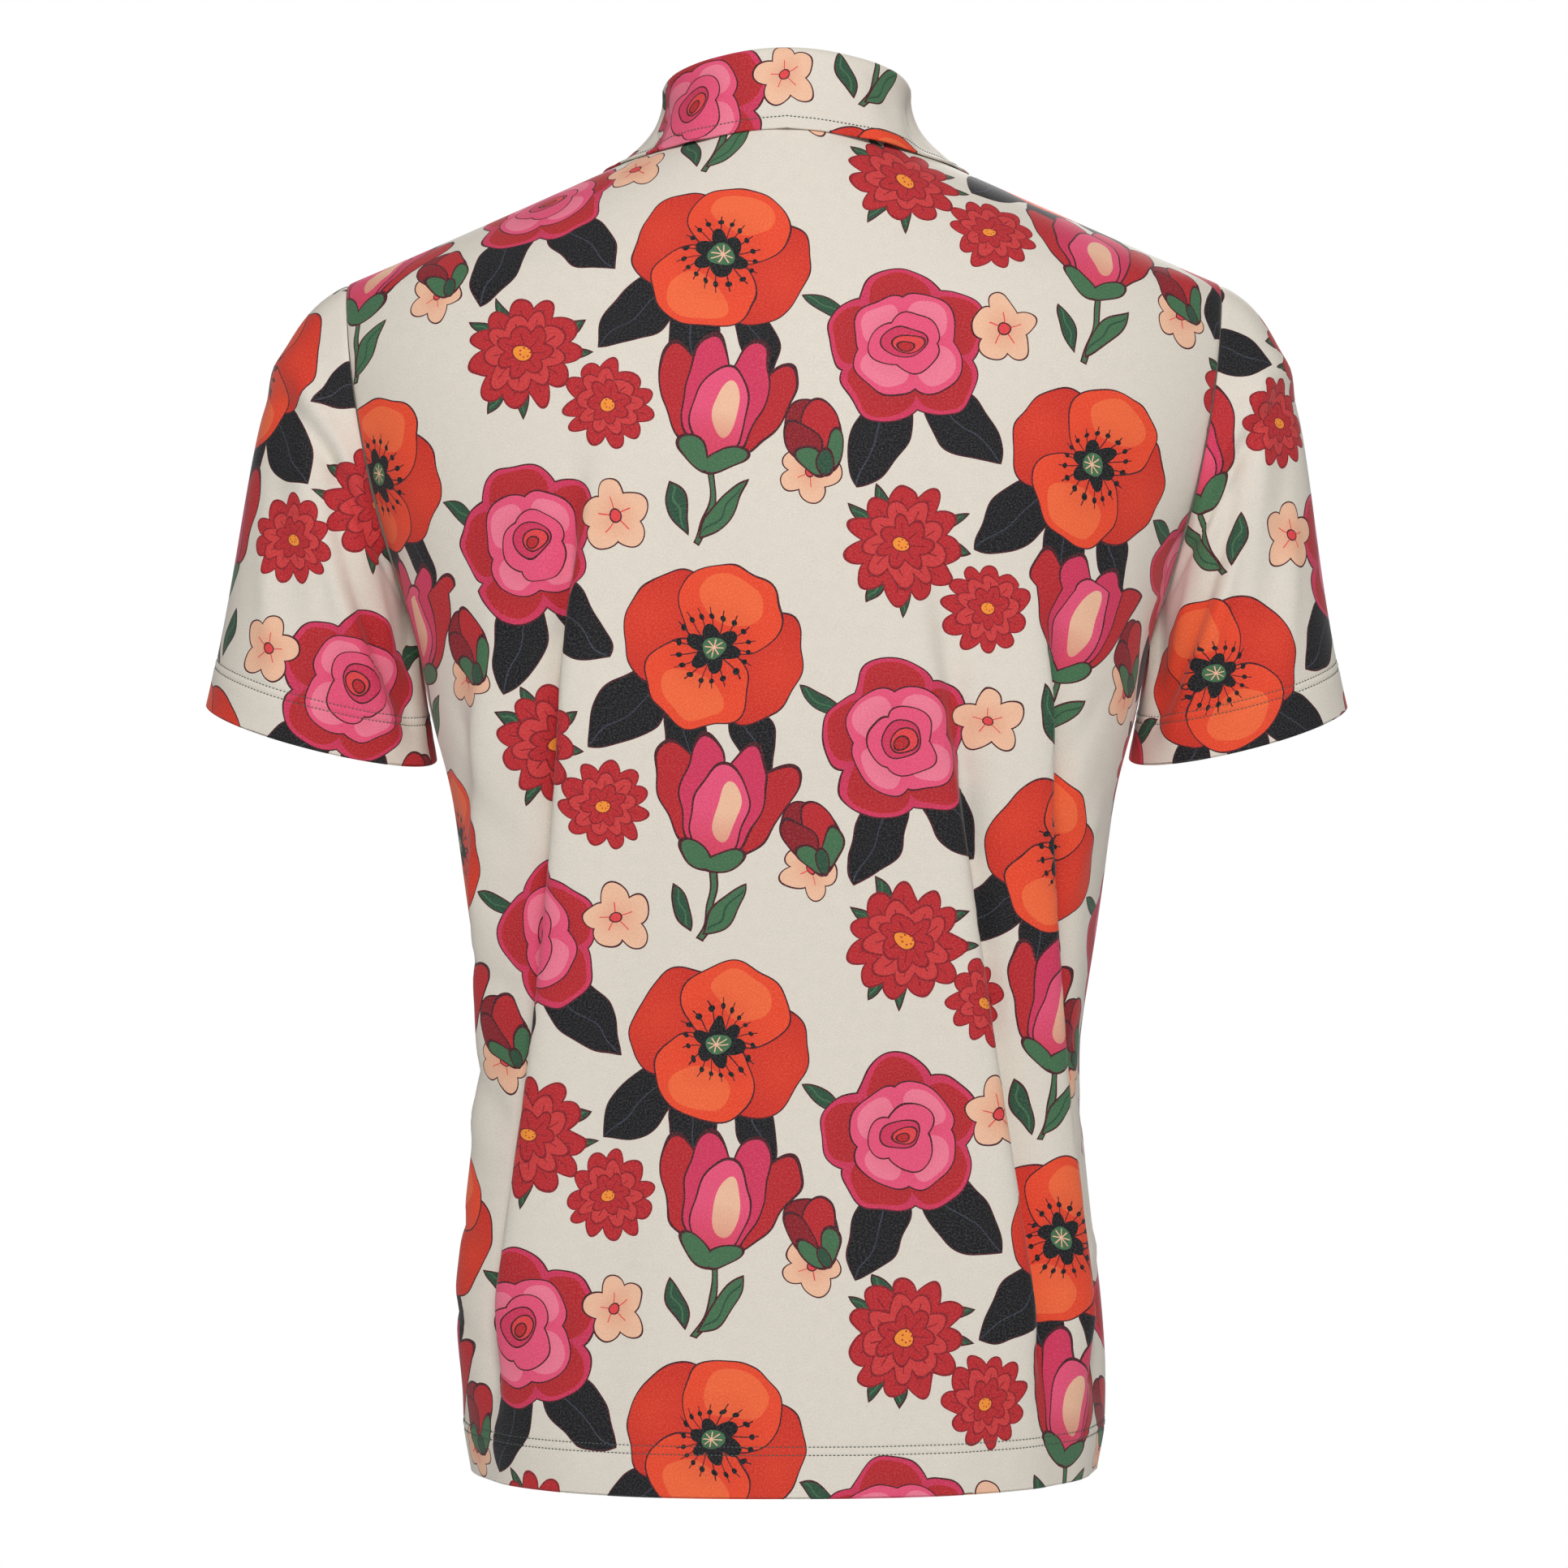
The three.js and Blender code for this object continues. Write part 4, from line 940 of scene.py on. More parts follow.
def wear_sheet(thing, node, places, hem, held, *materials):
    """Hands a finished sheet to the frame; its width, length and area laid flat, its hem turned down, are
    worked out but not used.
    """
    wear(thing, node, "printed_jersey", *materials)
    width = np.ptp(places[..., 0])
    length = np.ptp(places[..., 1]) + hem
    diagonals = crossed(places[1:, 1:] - places[:-1, :-1], places[:-1, 1:] - places[1:, :-1])
    area = min(np.abs(diagonals).sum() / 2 + hem * width, width * length)
    length * MM
    area * MM * MM


# ---- shader maths ----
class Value:
    """A shader socket with arithmetic: an expression on values adds its Math nodes."""

    def __init__(self, shader, socket):
        self.shader = shader
        self.socket = socket

    def math(self, operation, *others):
        return self.shader.node("ShaderNodeMath", {"operation": operation}, self, *others).value()

    def __add__(self, other):
        return self.math("ADD", other)

    def __sub__(self, other):
        return self.math("SUBTRACT", other)

    def __rsub__(self, other):
        return self.shader.node("ShaderNodeMath", {"operation": "SUBTRACT"}, other, self).value()

    def __mul__(self, other):
        return self.math("MULTIPLY", other)

    def __lt__(self, other):
        return self.math("LESS_THAN", other)

    def __abs__(self):
        return self.math("ABSOLUTE")

    __radd__ = __add__
    __rmul__ = __mul__


class Node:
    """One shader node and its outputs."""

    def __init__(self, shader, node):
        self.shader = shader
        self.node = node

    def value(self, output=0):
        return Value(self.shader, self.node.outputs[output])


class Shader:
    """A material's node tree."""

    def __init__(self, name):
        self.material = bpy.data.materials.new(name)
        self.material.use_nodes = True
        self.tree = self.material.node_tree
        self.tree.nodes.clear()

    def node(self, kind, settings=None, *values, **named):
        """Adds a node: its settings first, then its sockets in order or by name."""
        node = self.tree.nodes.new(kind)
        for key, setting in (settings or {}).items():
            setattr(node, key, setting)
        for key, value in [*enumerate(values), *((k.replace("_", " "), v) for k, v in named.items())]:
            if isinstance(value, Value):
                self.tree.links.new(value.socket, node.inputs[key])
            elif value is not None:
                node.inputs[key].default_value = value
        return Node(self, node)

    def combine(self, x, y, z=None):
        return self.node("ShaderNodeCombineXYZ", None, x, y, z).value()

    def split(self, vector):
        node = self.node("ShaderNodeSeparateXYZ", None, vector)
        return node.value(0), node.value(1)

    def length(self, vector):
        return self.node("ShaderNodeVectorMath", {"operation": "LENGTH"}, vector).value("Value")

    def moved(self, vector, centre=(0, 0), turn=0.0, size=(1, 1)):
        """A vector in a shape's own axes: its centre at the origin, and its size taken out."""
        place, spin, scale = (*centre, 0), (0, 0, math.radians(turn)), (*size, 1)
        return self.node("ShaderNodeMapping", {"vector_type": "TEXTURE"}, vector, place, spin, scale).value()

    def blend(self, operation, *vectors):
        return self.node("ShaderNodeVectorMath", {"operation": operation}, *vectors).value()

    def mix(self, factor, a, b):
        node = self.node("ShaderNodeMix", {"data_type": "RGBA"})
        for key, value in ((0, factor), (6, a), (7, b)):
            if isinstance(value, Value):
                self.tree.links.new(value.socket, node.node.inputs[key])
            else:
                node.node.inputs[key].default_value = value if key == 0 else (*value[:3], 1)
        return node.value(2)

    def noise(self, vector, scale, detail=2.0, roughness=0.5, output="Fac"):
        sockets = {"Vector": vector, "Scale": scale, "Detail": detail, "Roughness": roughness}
        return self.node("ShaderNodeTexNoise", None, **sockets).value(output)

    def object_place(self):
        return self.node("ShaderNodeTexCoord").value("Object")

    def bumped(self, strength, distance, height):
        return self.node("ShaderNodeBump", None, Strength=strength, Distance=distance, Height=height).value()

    def surface(self, base, normal=None, **sockets):
        shader = self.node("ShaderNodeBsdfPrincipled", None, Base_Color=base, Normal=normal, **sockets)
        output = self.node("ShaderNodeOutputMaterial")
        self.tree.links.new(shader.node.outputs[0], output.node.inputs[0])
        return self.material


def linear(rgb):
    """A colour given in screen values from 0 to 255, as the shader wants it."""
    parts = [v / 255 for v in rgb]
    return tuple(v / 12.92 if v <= 0.04045 else ((v + 0.055) / 1.055) ** 2.4 for v in parts)


# ---- the print ----
REPEAT = (200.0, 205.0)  # width and height, a half-drop one
SPECKS = SimpleNamespace(strength=0.16, gain=1.6, start=0.72)  # pale fibres that show through the ink
OUTLINE = 0.38  # half the width of a drawn line
GRAIN = 0.38  # how much the knit's fine grain lightens and darkens the print
GRAIN_NOISE = (1.1, 3.0, 0.62)  # scale, detail and roughness
MOTTLE = 0.08  # how much a slower unevenness does
MOTTLE_SCALE = 0.16
FIBRE = (240, 232, 224)
REVERSE_TONES = ((214, 209, 198), (238, 235, 227))
THREAD_TONES = ((58, 70, 64), (104, 118, 108))
BUTTON_TONES = ((224, 216, 200), (246, 242, 234))
WOBBLE = SimpleNamespace(scale=0.05, reach=8.0)  # keeps drawn shapes from being too regular
KNIT = SimpleNamespace(wale=1.1, course=0.9, loops=0.25, fuzz=(0.9, 3.0, 0.6), strength=0.12, depth=0.0004)

INKS = {
    "ground": (227, 219, 206),
    "orange": (238, 72, 38),
    "orange_deep": (208, 44, 30),
    "orange_pale": (246, 104, 56),
    "coral": (229, 66, 70),
    "coral_deep": (200, 40, 58),
    "pink": (234, 82, 122),
    "pink_deep": (212, 52, 92),
    "pink_pale": (242, 124, 150),
    "crimson": (188, 34, 42),
    "crimson_deep": (140, 22, 34),
    "crimson_pale": (208, 56, 58),
    "amber": (247, 150, 48),
    "peach": (243, 192, 160),
    "peach_deep": (228, 150, 120),
    "leaf": (66, 112, 76),
    "leaf_deep": (40, 80, 58),
    "night": (11, 13, 20),
    "night_pale": (54, 58, 72),
    "line": (74, 20, 32),
}


class Print:
    """Paints motifs one over another on the cloth's own places, in millimetres."""

    def __init__(self, shader, offset):
        self.shader = shader
        self.moved, self.split, self.length = shader.moved, shader.split, shader.length
        uv = shader.node("ShaderNodeUVMap", {"uv_map": "cloth"}).value()
        scaled = self.moved(uv, (-offset[0] * MM, -offset[1] * MM), 0, (MM, MM))
        wobble = shader.noise(scaled, WOBBLE.scale, 0.0, output="Color")
        shift = shader.blend("SUBTRACT", wobble, (0.5, 0.5, 0.5))
        self.place = shader.blend("MULTIPLY_ADD", shift, (WOBBLE.reach, WOBBLE.reach, 0), scaled)
        self.u, self.v = self.split(self.place)
        self.colour = linear(INKS["ground"])

    def motif(self, x, y, turn, size):
        """A motif's own axes, at the nearest of its places in the half-drop repeat."""
        wide, tall = REPEAT
        u = self.u - x
        column = (u * (1 / wide)).math("ROUND")
        across = u - column * wide
        up = ((self.v - y) - column * (tall / 2)).math("WRAP", tall / 2, -tall / 2)
        return self.moved(self.shader.combine(across, up), (0, 0), turn, (size, size))

    def fold(self, axes, petals, phase=0.0):
        """Axes that repeat round a centre: a shape on the x axis is drawn once for each petal."""
        x, y = self.split(axes)
        half = math.pi / petals
        angle = (y.math("ARCTAN2", x) - phase).math("WRAP", half, -half)
        distance = self.length(axes)
        return self.shader.combine(distance * angle.math("COSINE"), distance * angle.math("SINE"))

    def mirrored(self, axes):
        x, y = self.split(axes)
        return self.shader.combine(abs(x), y)

    def oval(self, axes, centre, radii, turn=0.0):
        """Distance outside an oval's edge, in millimetres near it."""
        reach = self.length(self.moved(axes, centre, turn, radii))
        return reach.math("MULTIPLY_ADD", min(radii), -min(radii))

    def tint(self, mask, ink):
        self.colour = self.shader.mix(mask, self.colour, linear(INKS[ink]))

    def paint(self, outside, ink):
        self.tint(outside < -OUTLINE, ink)

    def draw(self, outside, ink, line="line"):
        """Paints a shape with a drawn line round it."""
        self.tint(outside < OUTLINE, line)
        self.paint(outside, ink)

    def ovals(self, axes, *rows):
        """Draws ovals one over another, each given as its centre, radii, turn and ink."""
        for x, y, long, wide, turn, ink in rows:
            self.draw(self.oval(axes, (x, y), (long, wide), turn), ink)

    def petals(self, axes, count, phase, out, radii, ink, line="line"):
        """Draws a ring of oval petals. It gives one petal's axes and the distance outside its edge."""
        petal = self.fold(axes, count, phase)
        outside = self.oval(petal, (out, 0), radii)
        self.draw(outside, ink, line)
        return petal, outside

    def glow(self, outside, strength, ink):
        """Shades a shape gently, by a strength that is kept between nothing and a half."""
        soft = strength.math("MAXIMUM", 0.0).math("MINIMUM", 1.0) * 0.5
        self.tint((outside < -OUTLINE) * soft, ink)

    def leaves(self, axes, ink, vein, *rows):
        """Pointed leaves with a midrib, each given as its centre, half length, half width and turn."""
        for x, y, long, wide, turn in rows:
            along, aside = self.split(self.moved(axes, (x, y), turn))
            disc = (long * long + wide * wide) / (2 * wide)
            outside = self.length(self.shader.combine(along, abs(aside) + (disc - wide))) - disc
            self.draw(outside, ink)
            rib = abs(aside + (along * (6 / long)).math("SINE") * 0.8)
            self.tint((rib < 0.4) * (outside < -0.8), vein)


def paint_poppy(p, axes):
    p.leaves(axes, "night", "night_pale", (38, -41, 34, 17, -50), (6, -56, 30, 14, -100))
    p.leaves(axes, "night", "night_pale", (-30, -46, 25, 11, 236))
    back, outside = p.petals(axes, 2, 0.25, 28, (25, 34), "orange_deep")
    p.glow(outside, p.length(p.moved(back, (40, 0))) * -0.03 + 1.0, "orange")
    front, outside = p.petals(axes, 2, 0.25 + math.pi / 2, 23, (25, 31), "orange")
    p.paint(p.oval(front, (30, 0), (14, 20)), "orange_pale")
    p.glow(outside, p.length(axes) * -0.035 + 1.1, "orange_deep")
    rays = p.fold(axes, 18)
    along, aside = p.split(rays)
    p.tint((abs(aside) < 0.35) * (along < 24.0), "line")
    p.paint(p.oval(p.fold(axes, 6, 0.2), (8.5, 0), (7.5, 5)), "night")
    p.paint(p.oval(rays, (19.5, 0), (2, 2)), "night")
    p.draw(p.length(axes) - 7, "leaf", "night")
    p.tint((abs(p.split(p.fold(axes, 8))[1]) < 0.35) * (p.length(axes) < 5.4), "peach")


def paint_rose(p, axes):
    p.leaves(axes, "night", "night_pale", (-24, -44, 31, 15.5, 232), (20, -47, 29, 14.5, 302))
    p.leaves(axes, "leaf_deep", "leaf", (38, 26, 14, 4.6, 38))
    outer, outside = p.petals(axes, 5, 0.3, 24, (20, 22), "pink_deep")
    p.paint(p.oval(outer, (26.5, 0), (15.5, 17.5)), "crimson")
    p.glow(outside, p.length(axes) * -0.03 + 1.2, "crimson_deep")
    middle, outside = p.petals(axes, 4, 0.8, 15, (16, 18.5), "pink")
    p.paint(p.oval(middle, (18.5, 0), (10, 12)), "pink_pale")
    p.glow(outside, p.length(axes) * -0.05 + 1.2, "pink_deep")
    p.petals(axes, 3, 0.1, 8, (11, 12.5), "pink")
    heart = ((1, 2, 10.5, 9, 0, "pink_deep"), (-1, 1, 7, 5.5, 0, "coral"), (0.5, 0, 3.6, 3, 0, "crimson"))
    p.ovals(axes, *heart)


def paint_tulip(p, axes):
    across, up = p.split(axes)
    stem = abs(across - (up * 0.062).math("SINE") * 4.5) - 1.3
    p.draw(stem.math("MAXIMUM", abs(up + 24) - 18), "leaf")
    p.leaves(axes, "leaf", "leaf_deep", (-10, -26, 15, 4.4, 118))
    p.leaves(axes, "leaf_deep", "leaf", (9, -30, 12, 3.8, 58))
    mirrored = p.mirrored(axes)
    p.ovals(mirrored, (17, 19, 9.5, 24, -26, "crimson"), (8, 21, 9.5, 25, -6, "pink_deep"))
    outside = p.oval(axes, (0, 14), (12, 21))
    p.draw(outside, "pink")
    p.paint(p.oval(axes, (-2.5, 15), (6, 14)), "peach")
    p.glow(outside, up * -0.06 + 0.9, "coral_deep")
    p.ovals(mirrored, (6.5, -5.5, 9.5, 4.4, 34, "leaf"))


def paint_dahlia(p, axes):
    rings = ((11, 0.0, 19, 10.5, "crimson"), (9, 0.25, 13, 9, "crimson_pale"), (7, 0.1, 7.5, 7, "crimson"))
    for count, phase, reach, long, ink in rings:
        petal, outside = p.petals(axes, count, phase, reach, (long, long * 0.62), ink, "crimson_deep")
        along, aside = p.split(petal)
        p.tint((abs(aside) < 0.3) * (outside < -1.5) * (along < reach + long * 0.45), "crimson_deep")
    p.draw(p.oval(axes, (1, -1), (5.2, 4.2)), "amber", "crimson_deep")
    p.tint(p.oval(p.fold(axes, 7), (2.6, 0), (0.5, 0.5)) < 0, "crimson")


def paint_bud(p, axes):
    petals = ((0, 3, 12, 14.5, 0, "crimson_deep"), (-4.5, 4, 7.5, 12.5, 14, "crimson"))
    p.ovals(axes, *petals, (6, 1, 6, 11, -12, "crimson_deep"))
    p.ovals(p.mirrored(axes), (5.5, -8, 4, 9, -28, "leaf"))
    p.ovals(axes, (0, -12, 3.4, 5, 0, "leaf_deep"))


def paint_blossom(p, axes):
    petal, outside = p.petals(axes, 5, 0.0, 10, (9, 7.6), "peach")
    p.glow(outside, p.length(axes) * -0.09 + 1.2, "peach_deep")
    p.tint((abs(p.split(petal)[1]) < 0.3) * (p.length(axes) < 9.0), "coral")
    p.draw(p.length(axes) - 3, "coral")


def paint_leafy_dahlia(p, axes):
    along, aside = p.split(p.fold(axes, 3, 0.5))
    p.leaves(p.shader.combine(along, abs(aside)), "leaf_deep", "leaf", (23, 6, 11, 3.2, 14))
    paint_dahlia(p, axes)


# In the order in which they are painted, one over another.
MOTIFS = table(
    "paint x y turn size",
    (paint_poppy, 48, 60, 10, 0.89),
    (paint_rose, 152, 114, -8, 0.97),
    (paint_tulip, 50, 163, 12, 1.2),
    (paint_leafy_dahlia, 150, 10, 20, 1.05),
    (paint_dahlia, 105, 184, 0, 0.8),
    (paint_blossom, 101, 126, 10, 0.95),
    (paint_blossom, 0, 150, 40, 0.85),
    (paint_bud, 198, 64, -24, 1.15),
)


def printed_jersey(name, offset):
    """Matte knitted jersey with the floral print and its fine mottled grain."""
    shader = Shader(name)
    p = Print(shader, offset)
    for motif in MOTIFS:
        motif.paint(p, p.motif(motif.x, motif.y, motif.turn, motif.size))
    grain = shader.noise(p.place, *GRAIN_NOISE)
    mottle = shader.noise(p.place, MOTTLE_SCALE)
    shade = (grain - 0.5) * GRAIN + (mottle - 0.5) * MOTTLE + 1.0
    tone = shader.combine(shade, shade, shade)
    specks = (grain * SPECKS.gain - SPECKS.start).math("MAXIMUM", 0.0) * SPECKS.strength
    base = shader.mix(specks, shader.blend("MULTIPLY", p.colour, tone), linear(FIBRE))
    return knit_surface(shader, base, p)


def knit_surface(shader, base, p):
    """The knit's wales, courses and fuzz in the bump, and a soft sheen."""
    wale = (p.u * (2 * math.pi / KNIT.wale)).math("SINE")
    course = (p.v * (2 * math.pi / KNIT.course)).math("SINE")
    height = wale * course * KNIT.loops + shader.noise(p.place, *KNIT.fuzz)
    gloss = {"Roughness": 0.78, "Specular_IOR_Level": 0.28, "Sheen_Weight": 0.12, "Sheen_Roughness": 0.45}
    return shader.surface(base, shader.bumped(KNIT.strength, KNIT.depth, height), **gloss)


def plain_reverse(name):
    """The jersey's unprinted inside."""
    shader = Shader(name)
    p = Print(shader, (0, 0))
    grain = shader.noise(p.place, *GRAIN_NOISE)
    base = shader.mix(grain, *map(linear, REVERSE_TONES))
    return knit_surface(shader, base, p)


def thread_material(name):
    """Twisted grey-green thread."""
    shader = Shader(name)
    ply = shader.noise(shader.object_place(), 2600.0, 1.0)
    base = shader.mix(ply, *map(linear, THREAD_TONES))
    return shader.surface(base, shader.bumped(0.2, 0.0001, ply), Roughness=0.55, Specular_IOR_Level=0.4)


def button_material(name):
    """Clouded cream resin."""
    shader = Shader(name)
    cloud = shader.noise(shader.object_place(), 260.0, 3.0, 0.55)
    base = shader.mix(cloud, *map(linear, BUTTON_TONES))
    return shader.surface(base, Roughness=cloud * 0.16 + 0.22, Specular_IOR_Level=0.5)


def material(make, name, *values):
    """A material by name, made when it is first asked for."""
    return bpy.data.materials.get(name) or make(name, *values)


def face_material(piece):
    return material(printed_jersey, "printed jersey " + piece, PRINT_OFFSETS[piece])


def reverse_material():
    return material(plain_reverse, "jersey reverse")


# ---- stitches ----
def stitch_tree():
    """Geometry nodes that lay rounded stitches along a line, each turned to the line and to the cloth."""
    tree = bpy.data.node_groups.new("Stitch row", "GeometryNodeTree")
    face = tree.interface
    face.new_socket("Line", in_out="INPUT", socket_type="NodeSocketGeometry")
    for name in ("Pitch", "Stitch length", "Thread radius"):
        face.new_socket(name, in_out="INPUT", socket_type="NodeSocketFloat")
    face.new_socket("Thread", in_out="INPUT", socket_type="NodeSocketMaterial")
    face.new_socket("Stitches", in_out="OUTPUT", socket_type="NodeSocketGeometry")

    def add(kind, values=None, **settings):
        node = tree.nodes.new(kind)
        for key, value in settings.items():
            setattr(node, key, value)
        for key, value in (values or {}).items():
            node.inputs[key].default_value = value
        return node

    given = add("NodeGroupInput")
    made = add("NodeGroupOutput")
    curve = add("GeometryNodeMeshToCurve")
    resample = add("GeometryNodeResampleCurve", mode="LENGTH")
    tangent = add("GeometryNodeInputTangent")
    normal = add("GeometryNodeInputNamedAttribute", {"Name": "face"}, data_type="FLOAT_VECTOR")
    ball = add("GeometryNodeMeshUVSphere", {"Segments": 6, "Rings": 5, "Radius": 0.5})
    double = add("ShaderNodeMath", {1: 2.0}, operation="MULTIPLY")
    shape = add("ShaderNodeCombineXYZ")
    form = add("GeometryNodeTransform")
    along = add("FunctionNodeAlignRotationToVector", axis="X")
    facing = add("FunctionNodeAlignRotationToVector", axis="Z", pivot_axis="X")
    place = add("GeometryNodeInstanceOnPoints")
    realize = add("GeometryNodeRealizeInstances")
    rounded = add("GeometryNodeSetShadeSmooth")
    thread = add("GeometryNodeSetMaterial")
    links = (
        (given, "Line", curve, "Mesh"),
        (curve, "Curve", resample, "Curve"),
        (given, "Pitch", resample, "Length"),
        (given, "Stitch length", shape, "X"),
        (given, "Thread radius", double, 0),
        (double, 0, shape, "Y"),
        (double, 0, shape, "Z"),
        (ball, "Mesh", form, "Geometry"),
        (shape, 0, form, "Scale"),
        (tangent, 0, along, "Vector"),
        (along, 0, facing, "Rotation"),
        (normal, "Attribute", facing, "Vector"),
        (resample, "Curve", place, "Points"),
        (form, "Geometry", place, "Instance"),
        (facing, 0, place, "Rotation"),
        (place, "Instances", realize, "Geometry"),
        (realize, "Geometry", rounded, "Geometry"),
        (rounded, "Geometry", thread, "Geometry"),
        (given, "Thread", thread, "Material"),
        (thread, "Geometry", made, "Stitches"),
    )
    for source, output, target, socket in links:
        tree.links.new(source.outputs[output], target.inputs[socket])
    return tree


def line_object(name, lines):
    """Edges along each line of points, in millimetres, with the cloth's facing on each point."""
    points, edges, faces = [], [], []
    for line, normals in lines:
        start = len(points)
        points += (np.asarray(line) * MM).tolist()
        faces += np.asarray(normals).tolist()
        edges += [(start + i, start + i + 1) for i in range(len(line) - 1)]
    mesh = bpy.data.meshes.new(name)
    mesh.from_pydata(points, edges, [])
    layer = mesh.attributes.new("face", "FLOAT_VECTOR", "POINT")
    layer.data.foreach_set("vector", np.array(faces, np.float32).reshape(-1))
    return linked(name, mesh)


def made_plain(thing):
    """Turns an object's modifiers into its mesh."""
    bpy.context.view_layer.update()
    mesh = bpy.data.meshes.new_from_object(thing.evaluated_get(bpy.context.evaluated_depsgraph_get()))
    thing.modifiers.clear()
    old, thing.data = thing.data, mesh
    bpy.data.meshes.remove(old)
    mesh.name = thing.name
    return thing


def sew(name, lines, sewing, slot):
    """Rows of stitches as one piece."""
    thing = line_object(name, lines)
    tree = bpy.data.node_groups.get("Stitch row") or stitch_tree()
    modifier = thing.modifiers.new("Stitches", "NODES")
    modifier.node_group = tree
    wanted = {"Pitch": sewing.pitch, "Stitch length": sewing.stitch, "Thread radius": sewing.thread}
    wanted["Thread"] = material(thread_material, "sewing thread")
    for item in tree.interface.items_tree:
        if item.in_out == "INPUT" and item.name in wanted:
            modifier[item.identifier] = wanted[item.name]
    wear(made_plain(thing), None, slot)


def raised(points, normals):
    """A line on the cloth, lifted to where its stitches lie."""
    return points + normals * STITCH_LIFT, normals


def hem_lines(grid, normals, first_row, from_hem):
    """The two stitch rows of a hem, from the distances of its rows, which begin at a row of the grid."""
    rows = [first_row + from_hem.index(distance) for distance in HEM_STITCHES]
    return [raised(grid[row], normals[row]) for row in rows]


# ---- sizes and colours that a user would change ----
class ShirtSewing(bpy.types.PropertyGroup):
    pitch: FloatProperty(
        name="Stitch pitch",
        description="From one stitch to the next",
        default=0.0021,
        min=0.001,
        subtype="DISTANCE",
    )
    stitch: FloatProperty(
        name="Stitch length", description="Thread that shows", default=0.0015, min=0.0005, subtype="DISTANCE"
    )
    thread: FloatProperty(
        name="Thread radius",
        description="Half the thread's width",
        default=0.00033,
        min=0.00005,
        subtype="DISTANCE",
    )


class ShirtCloth(bpy.types.PropertyGroup):
    cloth: FloatProperty(
        name="Cloth",
        description="Thickness of one layer of jersey",
        default=0.0009,
        min=0.0004,
        subtype="DISTANCE",
    )
    hem: FloatProperty(
        name="Hem",
        description="Thickness of the turned-up hem",
        default=0.0018,
        min=0.0008,
        subtype="DISTANCE",
    )
    collar: FloatProperty(
        name="Collar",
        description="Thickness of the two-layered collar",
        default=0.0013,
        min=0.0008,
        subtype="DISTANCE",
    )


class ShirtStage(bpy.types.PropertyGroup):
    distance: FloatProperty(name="Camera distance", description="From y = 0", default=2.3, unit="LENGTH")
    height: FloatProperty(
        name="Camera height", description="Level of the camera", default=-0.3406, unit="LENGTH"
    )
    lens: FloatProperty(
        name="Lens", description="Focal length for a 36 mm sensor", default=97.42, unit="CAMERA"
    )
    floor: FloatProperty(name="Floor", description="Height of the floor", default=-2.1, unit="LENGTH")
    reach: FloatProperty(
        name="Floor radius", description="Half the floor's width", default=3.4, unit="LENGTH"
    )
    ambient: FloatProperty(
        name="Ambient", description="Strength of the light from all round", default=0.265, min=0
    )
    paper: FloatVectorProperty(
        name="Paper", description="Colour of floor and backdrop", default=(0.93, 0.93, 0.93), subtype="COLOR"
    )


# ---- hems, topstitching and buttons ----
def slot_cut(grid):
    """The front panel's cells, without those of the placket's slot."""
    middle = grid.shape[1] // 2
    slot = slice(middle - SLOT_COLUMNS, middle + SLOT_COLUMNS)
    keep = np.ones((grid.shape[0] - 1, grid.shape[1] - 1), bool)
    keep[:, slot] = grid[:-1, 1:, 2][:, slot] <= FRONT_NECK_Z - PLACKET.length
    return keep


def hemmed_wall(name, grid, places, from_edge, facing, cloth, **shape):
    """A wall whose hem is turned up inside: there it is thicker, and its inner face shows the print."""
    in_hem = from_edge <= HEM_DEPTH
    turned = places.copy()
    turned[in_hem, :, 1] = 2 * places[np.argmin(from_edge), :, 1] - places[in_hem, :, 1]
    thick = mix(cloth.hem, cloth.cloth, smooth((from_edge - HEM_DEPTH) / HEM_STEP))[:, None] / MM
    inner_slot = np.where(in_hem[1:] & in_hem[:-1], 0, 1)
    return wall_mesh(name, grid, places, facing, thick, turned_up=turned, inner_slot=inner_slot, **shape)


def topstitch_line(grid):
    """The line of the collar fall's topstitching, along its two front edges and its lower edge."""
    normals = grid_normals(grid, 1)
    around = running(grid, 1)
    inset = COLLAR_TOPSTITCH
    lower = len(grid) - len(FALL_EDGE_ROWS) + FALL_EDGE_ROWS.index(inset)
    inside = (around[lower] > inset) & (around[lower] < around[lower, -1] - inset)
    down = range(FALL_STITCH_ROW, lower)

    def traced(points):
        near = [read_line(points[r], around[r], inset) for r in down]
        far = [read_line(points[r], around[r], around[r, -1] - inset) for r in reversed(down)]
        return np.array([*near, *points[lower][inside], *far])

    return raised(traced(grid), unit(traced(normals)))


def turned_mesh(name, profile, segments, put):
    """A solid turned from a profile of radius and height, closed flat at both ends and put in its place."""
    angles = [2 * math.pi * i / segments for i in range(segments)]
    points = [put(r * math.cos(angle), r * math.sin(angle), h) for r, h in profile for angle in angles]
    faces = []
    for ring in range(0, len(points) - segments, segments):
        for i in range(segments):
            n = (i + 1) % segments
            faces.append((ring + i, ring + n, ring + segments + n, ring + segments + i))
    faces += [range(segments)[::-1], range(len(points) - segments, len(points))]
    mesh = bpy.data.meshes.new(name)
    mesh.from_pydata(points, [], [tuple(face) for face in faces])
    return linked(name, mesh)


